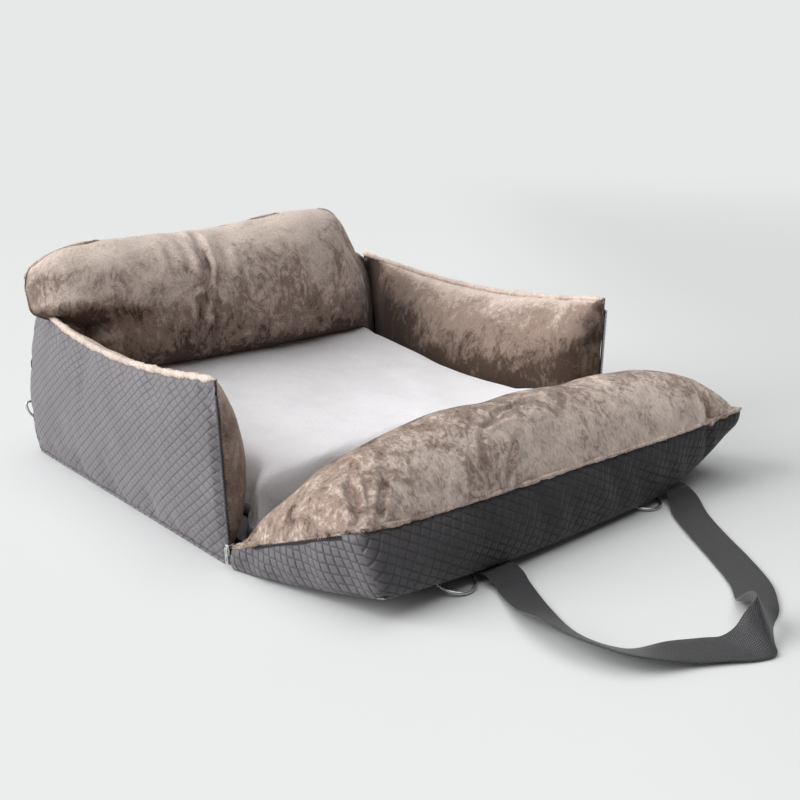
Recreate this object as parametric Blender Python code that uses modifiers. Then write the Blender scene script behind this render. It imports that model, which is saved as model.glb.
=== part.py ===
"""Dog car seat: a four-sided padded bed with a tall loose back cushion and a front panel that folds down.

Units are metres and +Z is up. X runs across the bed, -Y is the front, and the origin is the centre of
the base underside. The front panel lies open on the floor, its plush side up.
"""

import math

import bmesh
import bpy
from mathutils import Matrix, Vector
from mathutils.bvhtree import BVHTree

# The bed as a whole
bed_width = 0.66
bed_depth = 0.52

# Cloth, webbing and clearances
quilt_thickness = 0.002
plush_thickness = 0.003
webbing_width = 0.046
webbing_thickness = 0.002
seam_gap = 0.0003
filling_gap = 0.0006
floor_gap = 0.0006

# Base, from the floor up
base_cover_thickness = 0.004
base_board_thickness = 0.004
base_lining_thickness = 0.003
base_corner_radius = 0.012
board_side_margin = 0.036
board_front_margin = 0.006
board_back_margin = 0.022

# Side and back walls
wall_height = 0.218
wall_top_sag = 0.022
wall_bow = 0.009
wall_front_flare = 0.007
wall_straight_front = 0.1
wall_back_lean = 0.022
right_wall_back_rise = 0.014
side_wall_filling = 0.08
side_corner_run = 0.19
back_wall_rise = 0.028
back_wall_filling = 0.042
back_corner_run = 0.095

# Seat mat
mat_side_margin = 0.081
mat_front_margin = 0.008
mat_back_margin = 0.05
mat_filling = 0.074
mat_back_rise = 0.036

# Back cushion
cushion_bottom = 0.1162
cushion_height = 0.1938
cushion_right_peak = 0.017
cushion_lean = 0.042
cushion_back_margin = 0.098
cushion_front_filling = 0.055
cushion_rear_filling = 0.042
cushion_left_margin = 0.085
cushion_left_step = 0.028
cushion_left_overhang = 0.068
cushion_right_margin = 0.087
cushion_right_taper = 0.03
cushion_corner_drop = 0.026
tuft_depth = 0.012

# Front panel, open on the floor
fold_gap = 0.0105
fold_height = 0.027
panel_seam_run = 0.18
panel_band_run = 0.208
panel_right_stretch = 0.034
panel_left_inset = 0.03
panel_low_left_inset = 0.012
panel_right_spread = 0.034
panel_seam_height = 0.083
panel_seam_end_rise = 0.013
panel_low_seam_height = 0.0105
panel_left_lift = 0.02
panel_right_lift = 0.07
panel_filling = 0.1
panel_filling_gap = 0.003

# Zips between the side walls and the panel
zip_tape_thickness = 0.001
zip_tape_width = 0.0025
zip_bead_radius = 0.0014
zip_foot = 0.012
zip_top_margin = 0.016
slider_width = 0.008
slider_depth = 0.008
slider_height = 0.014
slider_front_wall = 0.0025
slider_rest_height = 0.016
pull_width = 0.005
pull_thickness = 0.001
pull_length = 0.021
pull_corner_radius = 0.0015
pull_drop = 0.004

# Rings, their tabs and the handles
ring_wire_radius = 0.002
ring_width = 0.052
ring_reach = 0.031
tab_width = 0.03
tab_layer = 0.0012
tab_tail = 0.012
front_ring_run = 0.187
ring_beside_strap = 0.0498
rear_ring_side_margin = 0.015
rear_ring_height = 0.076
handle_half_span = 0.1705
front_handle_middle = 0.0455
handle_seam_offset = 0.0035
strap_play = 0.0013
patch_length = 0.03
rear_handle_height = 0.185
rear_handle_drop = 0.14
rear_handle_stand_off = 0.026

# Places worked out from the sizes above
half_width = bed_width / 2
half_depth = bed_depth / 2
wall_foot = base_cover_thickness + seam_gap
board_foot = base_cover_thickness + seam_gap
lining_foot = board_foot + base_board_thickness + seam_gap
mat_foot = lining_foot + base_lining_thickness + seam_gap
fold_y = -half_depth - fold_gap

# Counts of cells across and along each kind of padded piece
wall_cells = (12, 8)
mat_cells = (12, 10)
cushion_cells = (16, 8)
panel_cells = (16, 10)
gusset_cells = (8, 2)

# How the padded forms swell and lean, as powers and as shares of their own sizes
front_end_power_share = 3.0
wall_crown_power_share = 0.85
wall_crown_shift_share = 0.12
wall_lean_power_share = 1.6
mat_side_power_share = 14.0
mat_end_power_share = 8.0
cushion_end_power_share = 4.0
panel_left_power_share = 3.0
panel_right_power_share = 4.0
panel_crown_power_share = 0.6
panel_rise_power_share = 1.5
corner_power_share = 8.0
core_reach_share = 0.985
panel_core_reach_shares = (0.98, 0.96)
panel_band_line_share = 0.2
rim_share = 0.1
tuft_place_shares = (-0.09, 0.07)
tuft_width_share = 0.07

# The front handle's way round its loop, in shares of half its span from the middle of its ends:
# across the bed, out from the panel, and its lift, then the way its width lies
front_handle_way_shares = (
    (-1.0, 0.0, 1.0, (1, 0, 0)),
    (-1.015, 0.1, 0.5, (1, 0, 0)),
    (-1.065, 0.2, 0.05, (1, -0.05, -0.05)),
    (-1.2, 0.45, 0.0, (0.95, -0.1, -0.22)),
    (-1.29, 0.68, 0.0, (0.86, -0.15, -0.48)),
    (-1.315, 0.86, 0.0, (0.87, 0.0, -0.5)),
    (-1.28, 1.04, 0.0, (0.83, 0.22, -0.46)),
    (-1.19, 1.18, 0.0, (0.72, 0.5, -0.35)),
    (-0.95, 1.3, 0.0, (0.5, 0.85, -0.15)),
    (-0.77, 1.41, 0.0, (0.42, 0.9, -0.1)),
    (-0.63, 1.5, 0.0, (0.35, 0.93, 0.02)),
    (-0.54, 1.565, 0.0, (0.1, 0.88, 0.45)),
    (-0.43, 1.53, 0.0, (-0.35, 0.3, 0.88)),
    (-0.25, 1.4, 0.0, (-0.62, 0.5, 0.6)),
    (-0.09, 1.27, 0.0, (-0.75, 0.62, 0.2)),
    (0.1, 1.13, 0.0, (-0.77, 0.64, 0.02)),
    (0.33, 0.85, 0.0, (-0.78, 0.62, 0.0)),
    (0.54, 0.56, 0.0, (-0.78, 0.62, 0.02)),
    (0.77, 0.27, 0.0, (-0.84, 0.54, 0.02)),
    (0.95, 0.09, 0.4, (-0.95, 0.3, 0.0)),
    (1.0, 0.0, 1.0, (-1, 0, 0)),
)
# Half of the rear handle's way down behind the back wall: across, out from the wall and down
rear_handle_way_shares = (
    (1.0, 0.0, 0.0, (1, 0, 0)),
    (1.0, 0.1, 0.3, (1, 0, 0)),
    (0.93, 0.45, 0.62, (0.8, 0.5, 0.2)),
    (0.7, 0.9, 0.87, (0.3, 0.95, 0.1)),
    (0.36, 1.0, 0.98, (0.05, 1, 0)),
    (0.0, 1.0, 1.0, (0, 1, 0)),
)


def clear_scene():
    for obj in list(bpy.data.objects):
        bpy.data.objects.remove(obj, do_unlink=True)


def new_collection(name):
    collection = bpy.data.collections.new(name)
    bpy.context.scene.collection.children.link(collection)
    return collection


def new_material(name, colour, roughness, metallic=0.0):
    material = bpy.data.materials.new(name)
    material.use_nodes = True
    shader = material.node_tree.nodes["Principled BSDF"]
    shader.inputs["Base Color"].default_value = (*colour, 1)
    shader.inputs["Roughness"].default_value = roughness
    shader.inputs["Metallic"].default_value = metallic
    return material


def finish_mesh(bm, name, material, smooth=True):
    """Puts a bmesh into an object of the seat."""
    bmesh.ops.recalc_face_normals(bm, faces=bm.faces)
    mesh = bpy.data.meshes.new(name)
    bm.to_mesh(mesh)
    bm.free()
    if smooth:
        mesh.shade_smooth()
    mesh.materials.append(material)
    obj = bpy.data.objects.new(name, mesh)
    seat.objects.link(obj)
    return obj


def mix(low, high, share):
    return low + (high - low) * share


def smooth_step(share):
    share = min(max(share, 0), 1)
    return share * share * (3 - 2 * share)


def crowded(share):
    """Spreads grid lines over -1 to 1 so that they crowd towards the seams."""
    return math.sin(share * math.pi / 2)


def on_rim(s, t):
    return max(abs(s), abs(t)) > 0.9999


def add_sheet(bm, point, cells):
    """Adds an open grid whose corner (s, t) in -1..1 goes to point(s, t), and gives its rim edges."""
    grid = bmesh.ops.create_grid(bm, x_segments=cells[0], y_segments=cells[1], size=1)["verts"]
    faces = list({face for vert in grid for face in vert.link_faces})
    bmesh.ops.triangulate(bm, faces=faces, quad_method="FIXED")
    for vert in grid:
        vert.co = point(crowded(vert.co.x), crowded(vert.co.y))
    return [edge for edge in {e for vert in grid for e in vert.link_edges} if edge.is_boundary]


def between(name, material, low, high, cells):
    """A closed body between two grids that share their counts, such as a padded cover or its filling."""
    bm = bmesh.new()
    rim = add_sheet(bm, low, cells) + add_sheet(bm, high, cells)
    bmesh.ops.bridge_loops(bm, edges=rim)
    return finish_mesh(bm, name, material)


def slab(name, material, low, high, corner_radius):
    """A flat box between two corners, its upright edges rounded."""
    bm = bmesh.new()
    bmesh.ops.create_cube(bm, size=1)
    low, high = Vector(low), Vector(high)
    size = high - low
    bmesh.ops.transform(bm, matrix=Matrix.Diagonal((*size, 1)), verts=bm.verts)
    bmesh.ops.translate(bm, vec=(low + high) / 2, verts=bm.verts)
    if corner_radius:
        upright = [e for e in bm.edges if abs(e.verts[0].co.z - e.verts[1].co.z) > size.z / 2]
        bmesh.ops.bevel(
            bm, geom=upright, offset=corner_radius, segments=4, affect="EDGES", profile=0.5
        )
    return finish_mesh(bm, name, material, smooth=False)


def rod(name, material, points, radius, closed=False):
    """A round wire along a list of points."""
    curve = bpy.data.curves.new(name, "CURVE")
    curve.dimensions = "3D"
    curve.bevel_depth = radius
    curve.bevel_resolution = 2
    curve.use_fill_caps = True
    spline = curve.splines.new("POLY")
    spline.points.add(len(points) - 1)
    for spot, place in zip(spline.points, points):
        spot.co = (*place, 1)
    spline.use_cyclic_u = closed
    spline.use_smooth = True
    curve.materials.append(material)
    obj = bpy.data.objects.new(name, curve)
    seat.objects.link(obj)
    return obj


def ribbon(name, material, centres, across, width, thickness):
    """A flat strap along centres, lying across the given directions, one for each centre."""
    last = len(centres) - 1

    def point(s, t):
        place = (s + 1) / 2 * last
        index = min(int(place), last - 1)
        centre = centres[index].lerp(centres[index + 1], place - index)
        side = across[index].lerp(across[index + 1], place - index).normalized()
        return centre + side * (t * width / 2)

    bm = bmesh.new()
    grid = bmesh.ops.create_grid(bm, x_segments=last, y_segments=1, size=1)["verts"]
    for vert in grid:
        vert.co = point(vert.co.x, vert.co.y)
    obj = finish_mesh(bm, name, material)
    solid = obj.modifiers.new("webbing", "SOLIDIFY")
    solid.thickness = thickness
    solid.offset = 0
    return obj


def set_origin(obj, place):
    """Moves an object's origin to a place, with its shape left where it is."""
    data = obj.data
    if obj.type == "CURVE":
        for spline in data.splines:
            for spot in spline.points:
                spot.co = (*(Vector(spot.co[:3]) - place), 1)
    else:
        data.transform(Matrix.Translation(-place))
    obj.location = place


def side_outer_x(y, z):
    """Half the bed's outer width at a depth and a height: the sides bow out and lean in behind."""
    rise = (z - wall_foot) / (wall_height - wall_foot)
    back = (y + half_depth) / bed_depth
    bow = wall_bow * (1 - (2 * rise - 1) ** 2) * smooth_step((y + half_depth) / wall_straight_front)
    flare = wall_front_flare * (1 - back) * rise
    return half_width + bow + flare - wall_back_lean * back**3 * rise**wall_lean_power_share


def wall_crown(t):
    return (1 - t * t) ** wall_crown_power_share * (1 - wall_crown_shift_share * t)


def corner_rise(distance, run):
    """How full a wall is at a distance from the back corner, where the walls pinch together."""
    return 1 - (1 - min(max(distance, 0) / run, 1)) ** 2


def core_depth(s, t, crown):
    """The filling's depth: just under the cover, and thin where it ends inside the seam."""
    return seam_gap / 2 if on_rim(s, t) else crown(s, t) - seam_gap


def core(place, level):
    """A grid for a filling, its rim drawn in a little from the seam."""

    def point(s, t):
        reach = core_reach_share if on_rim(s, t) else 1
        return place(s * reach, t * reach, level(s, t))

    return point


def padded(prefix, names, cloths, place, padded_place, crown, cells):
    """A flat cover, a filling and a crowned cover, in that order, on one pair of seams."""
    inside = quilt_thickness + seam_gap
    cover = quilt_thickness + filling_gap
    between(
        f"{prefix}_{names[0]}",
        cloths[0],
        lambda s, t: place(s, t, 0),
        lambda s, t: place(s, t, quilt_thickness),
        cells,
    )
    between(
        f"{prefix}_filling",
        filling,
        core(padded_place, lambda s, t: inside),
        core(padded_place, lambda s, t: inside + core_depth(s, t, crown)),
        cells,
    )
    between(
        f"{prefix}_{names[1]}",
        cloths[1],
        lambda s, t: padded_place(s, t, cover + crown(s, t)),
        lambda s, t: padded_place(s, t, cover + crown(s, t) + plush_thickness),
        cells,
    )


def side_wall(side, word):
    """One side wall: a quilted outside, a plush inside and the filling between them."""
    corner = quilt_thickness + filling_gap + seam_gap + plush_thickness

    def place(s, t, h, back_end=half_depth):
        y = mix(-half_depth, back_end, (s + 1) / 2)
        back = (y + half_depth) / bed_depth
        top = wall_height - wall_top_sag * (1 - (y / half_depth) ** 2)
        top += max(side, 0) * right_wall_back_rise * back**2
        z = mix(wall_foot, top, (t + 1) / 2)
        return Vector((side * (side_outer_x(y, z) - h), y, z))

    def padded_place(s, t, h):
        return place(s, t, h, half_depth - corner)

    def crown(s, t):
        distance = (1 - s) * (bed_depth - corner) / 2
        front = (1 - abs(min(s, 0)) ** front_end_power_share) ** 0.5
        return side_wall_filling * front * corner_rise(distance, side_corner_run) * wall_crown(t)

    names = ("outer", "lining")
    padded(f"{word}_wall", names, (quilt, plush), place, padded_place, crown, wall_cells)


def back_wall():
    """The back wall, which stands between the side walls."""
    corner = quilt_thickness + filling_gap + seam_gap + plush_thickness

    def place(s, t, h, end_gap=quilt_thickness + filling_gap):
        top = wall_height + back_wall_rise * (1 - abs(s) ** corner_power_share)
        z = mix(wall_foot, top, (t + 1) / 2)
        x = s * (side_outer_x(half_depth, min(z, wall_height)) - end_gap)
        return Vector((x, half_depth - h, z))

    def padded_place(s, t, h):
        return place(s, t, h, corner)

    def crown(s, t):
        distance = (1 - abs(s)) * half_width
        return back_wall_filling * corner_rise(distance, back_corner_run) * wall_crown(t)

    names = ("outer", "lining")
    padded("back_wall", names, (quilt, plush), place, padded_place, crown, wall_cells)


def base():
    """The quilted underside, the stiff board on it and the lining over the board."""
    slab(
        "base_cover",
        quilt,
        (-half_width, -half_depth, 0),
        (half_width, half_depth, base_cover_thickness),
        base_corner_radius,
    )
    low_x, low_y = -half_width + board_side_margin, -half_depth + board_front_margin
    high_y = half_depth - board_back_margin
    for name, material, foot, thickness in (
        ("base_board", board, board_foot, base_board_thickness),
        ("base_lining", lining_cloth, lining_foot, base_lining_thickness),
    ):
        slab(name, material, (low_x, low_y, foot), (-low_x, high_y, foot + thickness), base_corner_radius)


def seat_mat():
    """The white plush mat: a thin underside, a filling and a crowned cover."""
    low_y, high_y = -half_depth + mat_front_margin, half_depth - mat_back_margin

    def place(s, t, h):
        y = mix(low_y, high_y, (t + 1) / 2)
        return Vector((s * (half_width - mat_side_margin), y, mat_foot + h))

    def crown(s, t):
        full = mat_filling + mat_back_rise * smooth_step((t + 1) / 2) ** 2
        side, end = abs(s) ** mat_side_power_share, abs(t) ** mat_end_power_share
        return full * ((1 - side) * (1 - end)) ** 0.5

    names = ("underside", "cover")
    padded("mat", names, (lining_cloth, mat_plush), place, place, crown, mat_cells)


def back_cushion():
    """The tall loose cushion that leans on the back wall and rests one end on the left wall."""
    foot_y = half_depth - cushion_back_margin

    def ends(t):
        left = half_width - cushion_left_margin + cushion_left_step * min((t + 1) / 0.6, 1)
        left += cushion_left_overhang * smooth_step((t + 0.1) / 0.35)
        return -left, half_width - cushion_right_margin - cushion_right_taper * ((t + 1) / 2) ** 2

    def place(s, t, h):
        left, right = ends(t)
        height = cushion_height + cushion_right_peak * smooth_step((s + 0.1) / 0.8)
        height -= cushion_corner_drop * abs(s) ** corner_power_share
        rise = (t + 1) / 2
        x = mix(left, right, (s + 1) / 2)
        return Vector((x, foot_y + cushion_lean * rise + h, cushion_bottom + height * rise))

    def swell(s, t):
        return ((1 - abs(s) ** cushion_end_power_share) * (1 - t * t)) ** 0.5

    def front(s, t):
        pinch = sum(math.exp(-(((s - spot) / tuft_width_share) ** 2)) for spot in tuft_place_shares)
        return cushion_front_filling * swell(s, t) - tuft_depth * pinch * (1 - t * t)

    def rear(s, t):
        return cushion_rear_filling * swell(s, t)

    for word, sign, crown in (("front", -1, front), ("rear", 1, rear)):
        between(
            f"back_cushion_{word}",
            plush,
            lambda s, t, g=sign, c=crown: place(s, t, g * (seam_gap + c(s, t))),
            lambda s, t, g=sign, c=crown: place(s, t, g * (seam_gap + c(s, t) + plush_thickness)),
            cushion_cells,
        )
    between(
        "back_cushion_filling",
        filling,
        core(place, lambda s, t: -core_depth(s, t, front)),
        core(place, lambda s, t: core_depth(s, t, rear)),
        cushion_cells,
    )


def panel_x(s, u, low_inset=0):
    """Across the panel, u running from the fold at 0 to the front seams at 1."""
    left = -half_width + (panel_left_inset + low_inset) * u
    return mix(left, half_width + panel_right_spread * u, (s + 1) / 2)


def panel_upper_seam(s):
    run = panel_seam_run + panel_right_stretch * ((s + 1) / 2) ** 2
    return fold_y - run, panel_seam_height + panel_seam_end_rise * s**4


def panel_lower_seam(s):
    left = panel_left_lift * max(-s, 0) ** 2
    right = panel_right_lift * (max(s - 0.3, 0) / 0.7) ** 2
    return fold_y - panel_band_run, panel_low_seam_height + left + right


def panel_bottom(s, u):
    """A point of the panel's underside, near the floor and lifted towards its front corners."""
    y, z = panel_lower_seam(s)
    x = panel_x(s, u, panel_low_left_inset)
    return Vector((x, mix(fold_y, y, u), mix(floor_gap, z, u**panel_rise_power_share)))


def panel_seam(s, u):
    """A point of the plane that the plush rises from, between the fold and the upper front seam."""
    y, z = panel_upper_seam(s)
    return Vector((panel_x(s, u), mix(fold_y, y, u), mix(fold_height, z, u)))


def front_panel():
    """The folded-down front: underside with front band, two end gussets, plush cover and filling."""
    band = crowded(panel_band_line_share)

    def outside(s, t, h):
        if t < band - seam_gap:
            return panel_bottom(s, (t + 1) / (band + 1)) + Vector((0, 0, h))
        up = (t - band) / (1 - band)
        top = panel_seam(s, 1) - Vector((0, 0, panel_filling_gap))
        return panel_bottom(s, 1).lerp(top, up) + Vector((0, h, h * (1 - up)))

    between(
        "front_panel_outer",
        quilt,
        lambda s, t: outside(s, t, 0),
        lambda s, t: outside(s, t, quilt_thickness),
        panel_cells,
    )
    inset = quilt_thickness + seam_gap
    for side, word in ((-1, "left"), (1, "right")):

        def gusset(s, t, h, side=side):
            edge = inset / panel_seam_run
            u = mix(edge, 1 - 3 * edge, (s + 1) / 2)
            low, high = panel_bottom(side, u), panel_seam(side, u)
            low.z += quilt_thickness + panel_filling_gap
            high.z -= filling_gap
            return low.lerp(high, (t + 1) / 2) - Vector((side * h, 0, 0))

        between(
            f"front_panel_gusset_{word}",
            quilt,
            lambda s, t, plate=gusset: plate(s, t, seam_gap),
            lambda s, t, plate=gusset: plate(s, t, seam_gap + quilt_thickness),
            gusset_cells,
        )

    def crown(s, t):
        power = panel_left_power_share if s < 0 else panel_right_power_share
        return panel_filling * (1 - abs(s) ** power) ** 0.5 * (1 - t * t) ** panel_crown_power_share

    def over_seams(level):
        def point(s, t):
            place = panel_seam(s, (t + 1) / 2)
            place.z += level + crown(s, t)
            return place

        return point

    between(
        "front_panel_lining",
        plush,
        over_seams(seam_gap),
        over_seams(seam_gap + plush_thickness),
        panel_cells,
    )
    reach_s, reach_t = panel_core_reach_shares

    def core_low(s, t):
        place = panel_bottom(s * reach_s, (t * reach_t + 1) / 2)
        place.z += quilt_thickness + panel_filling_gap
        return place

    def core_high(s, t):
        if not on_rim(s, t):
            place = panel_seam(s, (t + 1) / 2)
            place.z += crown(s, t) - filling_gap
            return place
        place = panel_seam(s * reach_s, (t * reach_t + 1) / 2)
        place.z -= filling_gap
        return place

    between("front_panel_filling", filling, core_low, core_high, panel_cells)


def fold_strip():
    """The strip of cloth that joins the base to the panel along the fold."""
    half = quilt_thickness / 4
    points = (
        (-half_depth - seam_gap, floor_gap + half),
        (mix(-half_depth, fold_y, 0.7), floor_gap + half),
        (fold_y + seam_gap + half, fold_height / 5),
        (fold_y + seam_gap + half, fold_height - seam_gap),
    )

    bm = bmesh.new()
    grid = bmesh.ops.create_grid(bm, x_segments=8, y_segments=len(points) - 1, size=1)["verts"]
    for vert in grid:
        y, z = points[round((vert.co.y + 1) / 2 * (len(points) - 1))]
        vert.co = Vector((vert.co.x * (half_width - base_corner_radius), y, z))
    obj = finish_mesh(bm, "fold_strip", quilt)
    solid = obj.modifiers.new("cloth", "SOLIDIFY")
    solid.thickness = 2 * half
    solid.offset = 0


def wall_edge(side, z, ahead):
    """A point on the straight front edge of a side wall, some way ahead of it."""
    return Vector((side * (side_outer_x(-half_depth, z) - quilt_thickness / 2), -half_depth - ahead, z))


def zips():
    """A zip half on each side wall and each panel end, with a slider and its pull on each wall."""
    foot, top = zip_foot, wall_height - zip_top_margin
    for side, word in ((-1, "left"), (1, "right")):
        ahead = seam_gap + zip_tape_width / 2
        ribbon(
            f"{word}_wall_zip_tape",
            webbing,
            [wall_edge(side, z, ahead) for z in (foot, top)],
            [Vector((0, 1, 0))] * 2,
            zip_tape_width,
            zip_tape_thickness,
        )
        ahead = 2 * seam_gap + zip_tape_width + zip_bead_radius
        rod(
            f"{word}_wall_zip_chain",
            zip_coil,
            [wall_edge(side, z, ahead) for z in (foot, top)],
            zip_bead_radius,
        )
        slider_and_pull(side, word, ahead)
        panel_zip(side, word)


def slider_and_pull(side, word, ahead):
    """A slider round the chain, open behind for the tape, and the pull that hangs beside it."""
    middle = wall_edge(side, slider_rest_height + slider_height / 2, ahead)
    lean = wall_edge(side, wall_height, ahead) - wall_edge(side, zip_foot, ahead)
    turn = Matrix.Translation(middle) @ Matrix.Rotation(math.atan2(lean.x, lean.z), 4, "Y")
    slot = zip_bead_radius + seam_gap
    front = -slot - slider_front_wall
    half_height = slider_height / 2
    slider = slab(
        f"{word}_zip_slider",
        steel,
        (-slider_width / 2, front, -half_height),
        (slider_width / 2, front + slider_depth, half_height),
        0,
    )
    cutter = slab(
        f"{word}_slider_slot",
        steel,
        (-slot, -slot, -slider_height),
        (slot, slider_depth, slider_height),
        0,
    )
    seat.objects.unlink(cutter)
    cutters.objects.link(cutter)
    cutter.hide_render = True
    cutter.display_type = "WIRE"
    slider.matrix_world = cutter.matrix_world = turn
    cut = slider.modifiers.new("slot", "BOOLEAN")
    cut.object = cutter
    out = side * (slider_width / 2 + seam_gap + pull_thickness / 2)
    pin = Matrix.Translation((out, front + slider_depth / 2, half_height - pull_drop))
    flat = Matrix(((0, 0, 1), (1, 0, 0), (0, 1, 0))).to_4x4()
    pull = outline_plate(f"{word}_zip_pull", steel, hanging_tab(), pull_thickness)
    pull.matrix_world = turn @ pin @ flat


def outline_plate(name, material, corners, thickness):
    """A flat plate of the given outline, drawn in its own xy plane."""
    outline = bpy.data.curves.new(name, "CURVE")
    outline.dimensions = "2D"
    outline.fill_mode = "BOTH"
    outline.extrude = thickness / 2
    spline = outline.splines.new("POLY")
    spline.points.add(len(corners) - 1)
    for spot, (across, up) in zip(spline.points, corners):
        spot.co = (across, up, 0, 1)
    spline.use_cyclic_u = True
    outline.materials.append(material)
    obj = bpy.data.objects.new(name, outline)
    seat.objects.link(obj)
    return obj


def hanging_tab():
    """The outline of a pull that hangs from its own origin, with round corners."""
    radius = pull_corner_radius
    across = pull_width / 2 - radius
    top = pull_thickness / 2 - radius
    low = top - pull_length + 2 * radius
    points = []
    for x, y, start in ((across, top, 0), (-across, top, 90), (-across, low, 180), (across, low, 270)):
        for step in range(4):
            angle = math.radians(start + 30 * step)
            points.append((x + radius * math.cos(angle), y + radius * math.sin(angle)))
    return points


def panel_zip(side, word):
    """The zip half along the upper edge of one end gusset."""
    count = 8
    steps = [mix(2 * rim_share, 1 - rim_share, index / (count - 1)) for index in range(count)]

    def edge(u, out, drop):
        return panel_seam(side, u) + Vector((side * out, 0, -drop))

    bead = zip_bead_radius + filling_gap
    rod(
        f"{word}_panel_zip_chain",
        zip_coil,
        [edge(u, bead, bead) for u in steps],
        zip_bead_radius,
    )
    ribbon(
        f"{word}_panel_zip_tape",
        webbing,
        [edge(u, filling_gap + zip_tape_thickness / 2, 2 * bead + zip_tape_width / 2) for u in steps],
        [Vector((0, 0, 1))] * count,
        zip_tape_width,
        zip_tape_thickness,
    )


def ring_outline():
    """A D in its own plane: a straight bar along x at y zero, and an arc that reaches to -y."""
    half = ring_width / 2 - ring_wire_radius
    reach = ring_reach - ring_wire_radius
    points = [(-half, 0.0), (0.0, 0.0), (half, 0.0)]
    for step in range(1, 10):
        angle = math.pi * step / 10
        points.append((half * math.cos(angle), -reach * math.sin(angle) ** 0.8))
    return points


def ring_and_tab(word, middle, downward, tail):
    """A ring whose bar lies at middle, reaching along downward, in a tab that runs back along tail."""
    points = [middle + Vector((x, 0, 0)) - downward * y for x, y in ring_outline()]
    ring = rod(f"{word}_ring", steel, points, ring_wire_radius, closed=True)
    set_origin(ring, middle)
    radius = ring_wire_radius + seam_gap + tab_layer / 2
    normal = Vector((1, 0, 0)).cross(-tail)
    profile = [(radius, tab_tail), (radius, tab_tail / 2)]
    profile += [
        (radius * math.cos(math.pi * step / 6), -radius * math.sin(math.pi * step / 6))
        for step in range(7)
    ]
    profile += [(-radius, tab_tail / 2), (-radius, tab_tail)]
    bm = bmesh.new()
    grid = bmesh.ops.create_grid(bm, x_segments=1, y_segments=len(profile) - 1, size=1)["verts"]
    for vert in grid:
        off, back = profile[round((vert.co.y + 1) / 2 * (len(profile) - 1))]
        vert.co = middle + Vector((vert.co.x * tab_width / 2, 0, 0)) + normal * off + tail * back
    tab = finish_mesh(bm, f"{word}_ring_tab", webbing)
    solid = tab.modifiers.new("webbing", "SOLIDIFY")
    solid.thickness = tab_layer
    solid.offset = 0


def rings():
    """Two rings under the panel's front seam and one low at each back corner."""
    stand_off = seam_gap + tab_layer + seam_gap + ring_wire_radius
    for word, side in (("front_left", -1), ("front_right", 1)):
        x = side * handle_half_span + front_handle_middle - ring_beside_strap
        y = fold_y - front_ring_run
        high = lowest_under_panel(x, y, tab_width)
        back = lowest_under_panel(x, y + tab_tail, tab_width)
        middle = Vector((x, y, high - stand_off))
        fall = middle.z - floor_gap - ring_wire_radius
        downward = Vector((0, -((ring_reach**2 - fall**2) ** 0.5), -fall)).normalized()
        ring_and_tab(word, middle, downward, Vector((0, tab_tail, back - high)).normalized())
    for word, side in (("rear_left", -1), ("rear_right", 1)):
        x = side * (half_width - rear_ring_side_margin)
        middle = Vector((x, half_depth + stand_off, rear_ring_height))
        ring_and_tab(word, middle, Vector((0, 0, -1)), Vector((0, 0, 1)))


def smooth_route(points, each):
    """Points along a smooth curve through the given ones."""
    route = []
    last = len(points) - 1
    for index in range(last):
        a, b = points[max(index - 1, 0)], points[index]
        c, d = points[index + 1], points[min(index + 2, last)]
        for step in range(each):
            t = step / each
            pull = 2 * b + (c - a) * t + (2 * a - 5 * b + 4 * c - d) * t * t
            route.append((pull + (3 * b - a - 3 * c + d) * t**3) / 2)
    return [*route, points[last]]


def handle(name, points, lay, origin):
    route, across = smooth_route(points, 3), smooth_route(lay, 3)
    strap = ribbon(name, webbing, route, across, webbing_width, webbing_thickness)
    set_origin(strap, origin)


def under_panel(x, y):
    """The height of the front panel's underside."""
    inside = max(y, fold_y - panel_band_run + quilt_thickness)
    return underside.ray_cast(Vector((x, inside, 0)), Vector((0, 0, 1)))[0].z


def lowest_under_panel(x, y, width):
    """The underside's lowest height over a width across the bed."""
    return min(under_panel(x + width * share, y) for share in (-0.5, -0.25, 0, 0.25, 0.5))


def front_handle():
    """The long webbing handle, lying in a loop on the floor before the panel."""
    axis_y = fold_y - panel_band_run - handle_seam_offset
    drop = seam_gap + webbing_thickness / 2
    high = min(
        lowest_under_panel(front_handle_middle + side * handle_half_span, axis_y, webbing_width)
        for side in (-1, 1)
    )
    high -= drop
    points, lay = [], []
    for across, out, lift, way in front_handle_way_shares:
        side = Vector(way).normalized()
        low = 3 * floor_gap + (webbing_width * abs(side.z) + webbing_thickness) / 2
        x = front_handle_middle + across * handle_half_span
        points.append(Vector((x, axis_y - out * handle_half_span, mix(low, high, lift))))
        lay.append(side)
    handle("front_handle", points, lay, Vector((front_handle_middle, axis_y, high)))
    for side, word in ((-1, "left"), (1, "right")):
        x = front_handle_middle + side * handle_half_span
        places = [axis_y + strap_play + share * patch_length for share in (0, 0.5, 1)]
        centres = [Vector((x, y, lowest_under_panel(x, y, webbing_width) - drop)) for y in places]
        patch = [Vector((1, 0, 0))] * 3
        ribbon(
            f"front_handle_patch_{word}", webbing, centres, patch, webbing_width, webbing_thickness
        )


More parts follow.
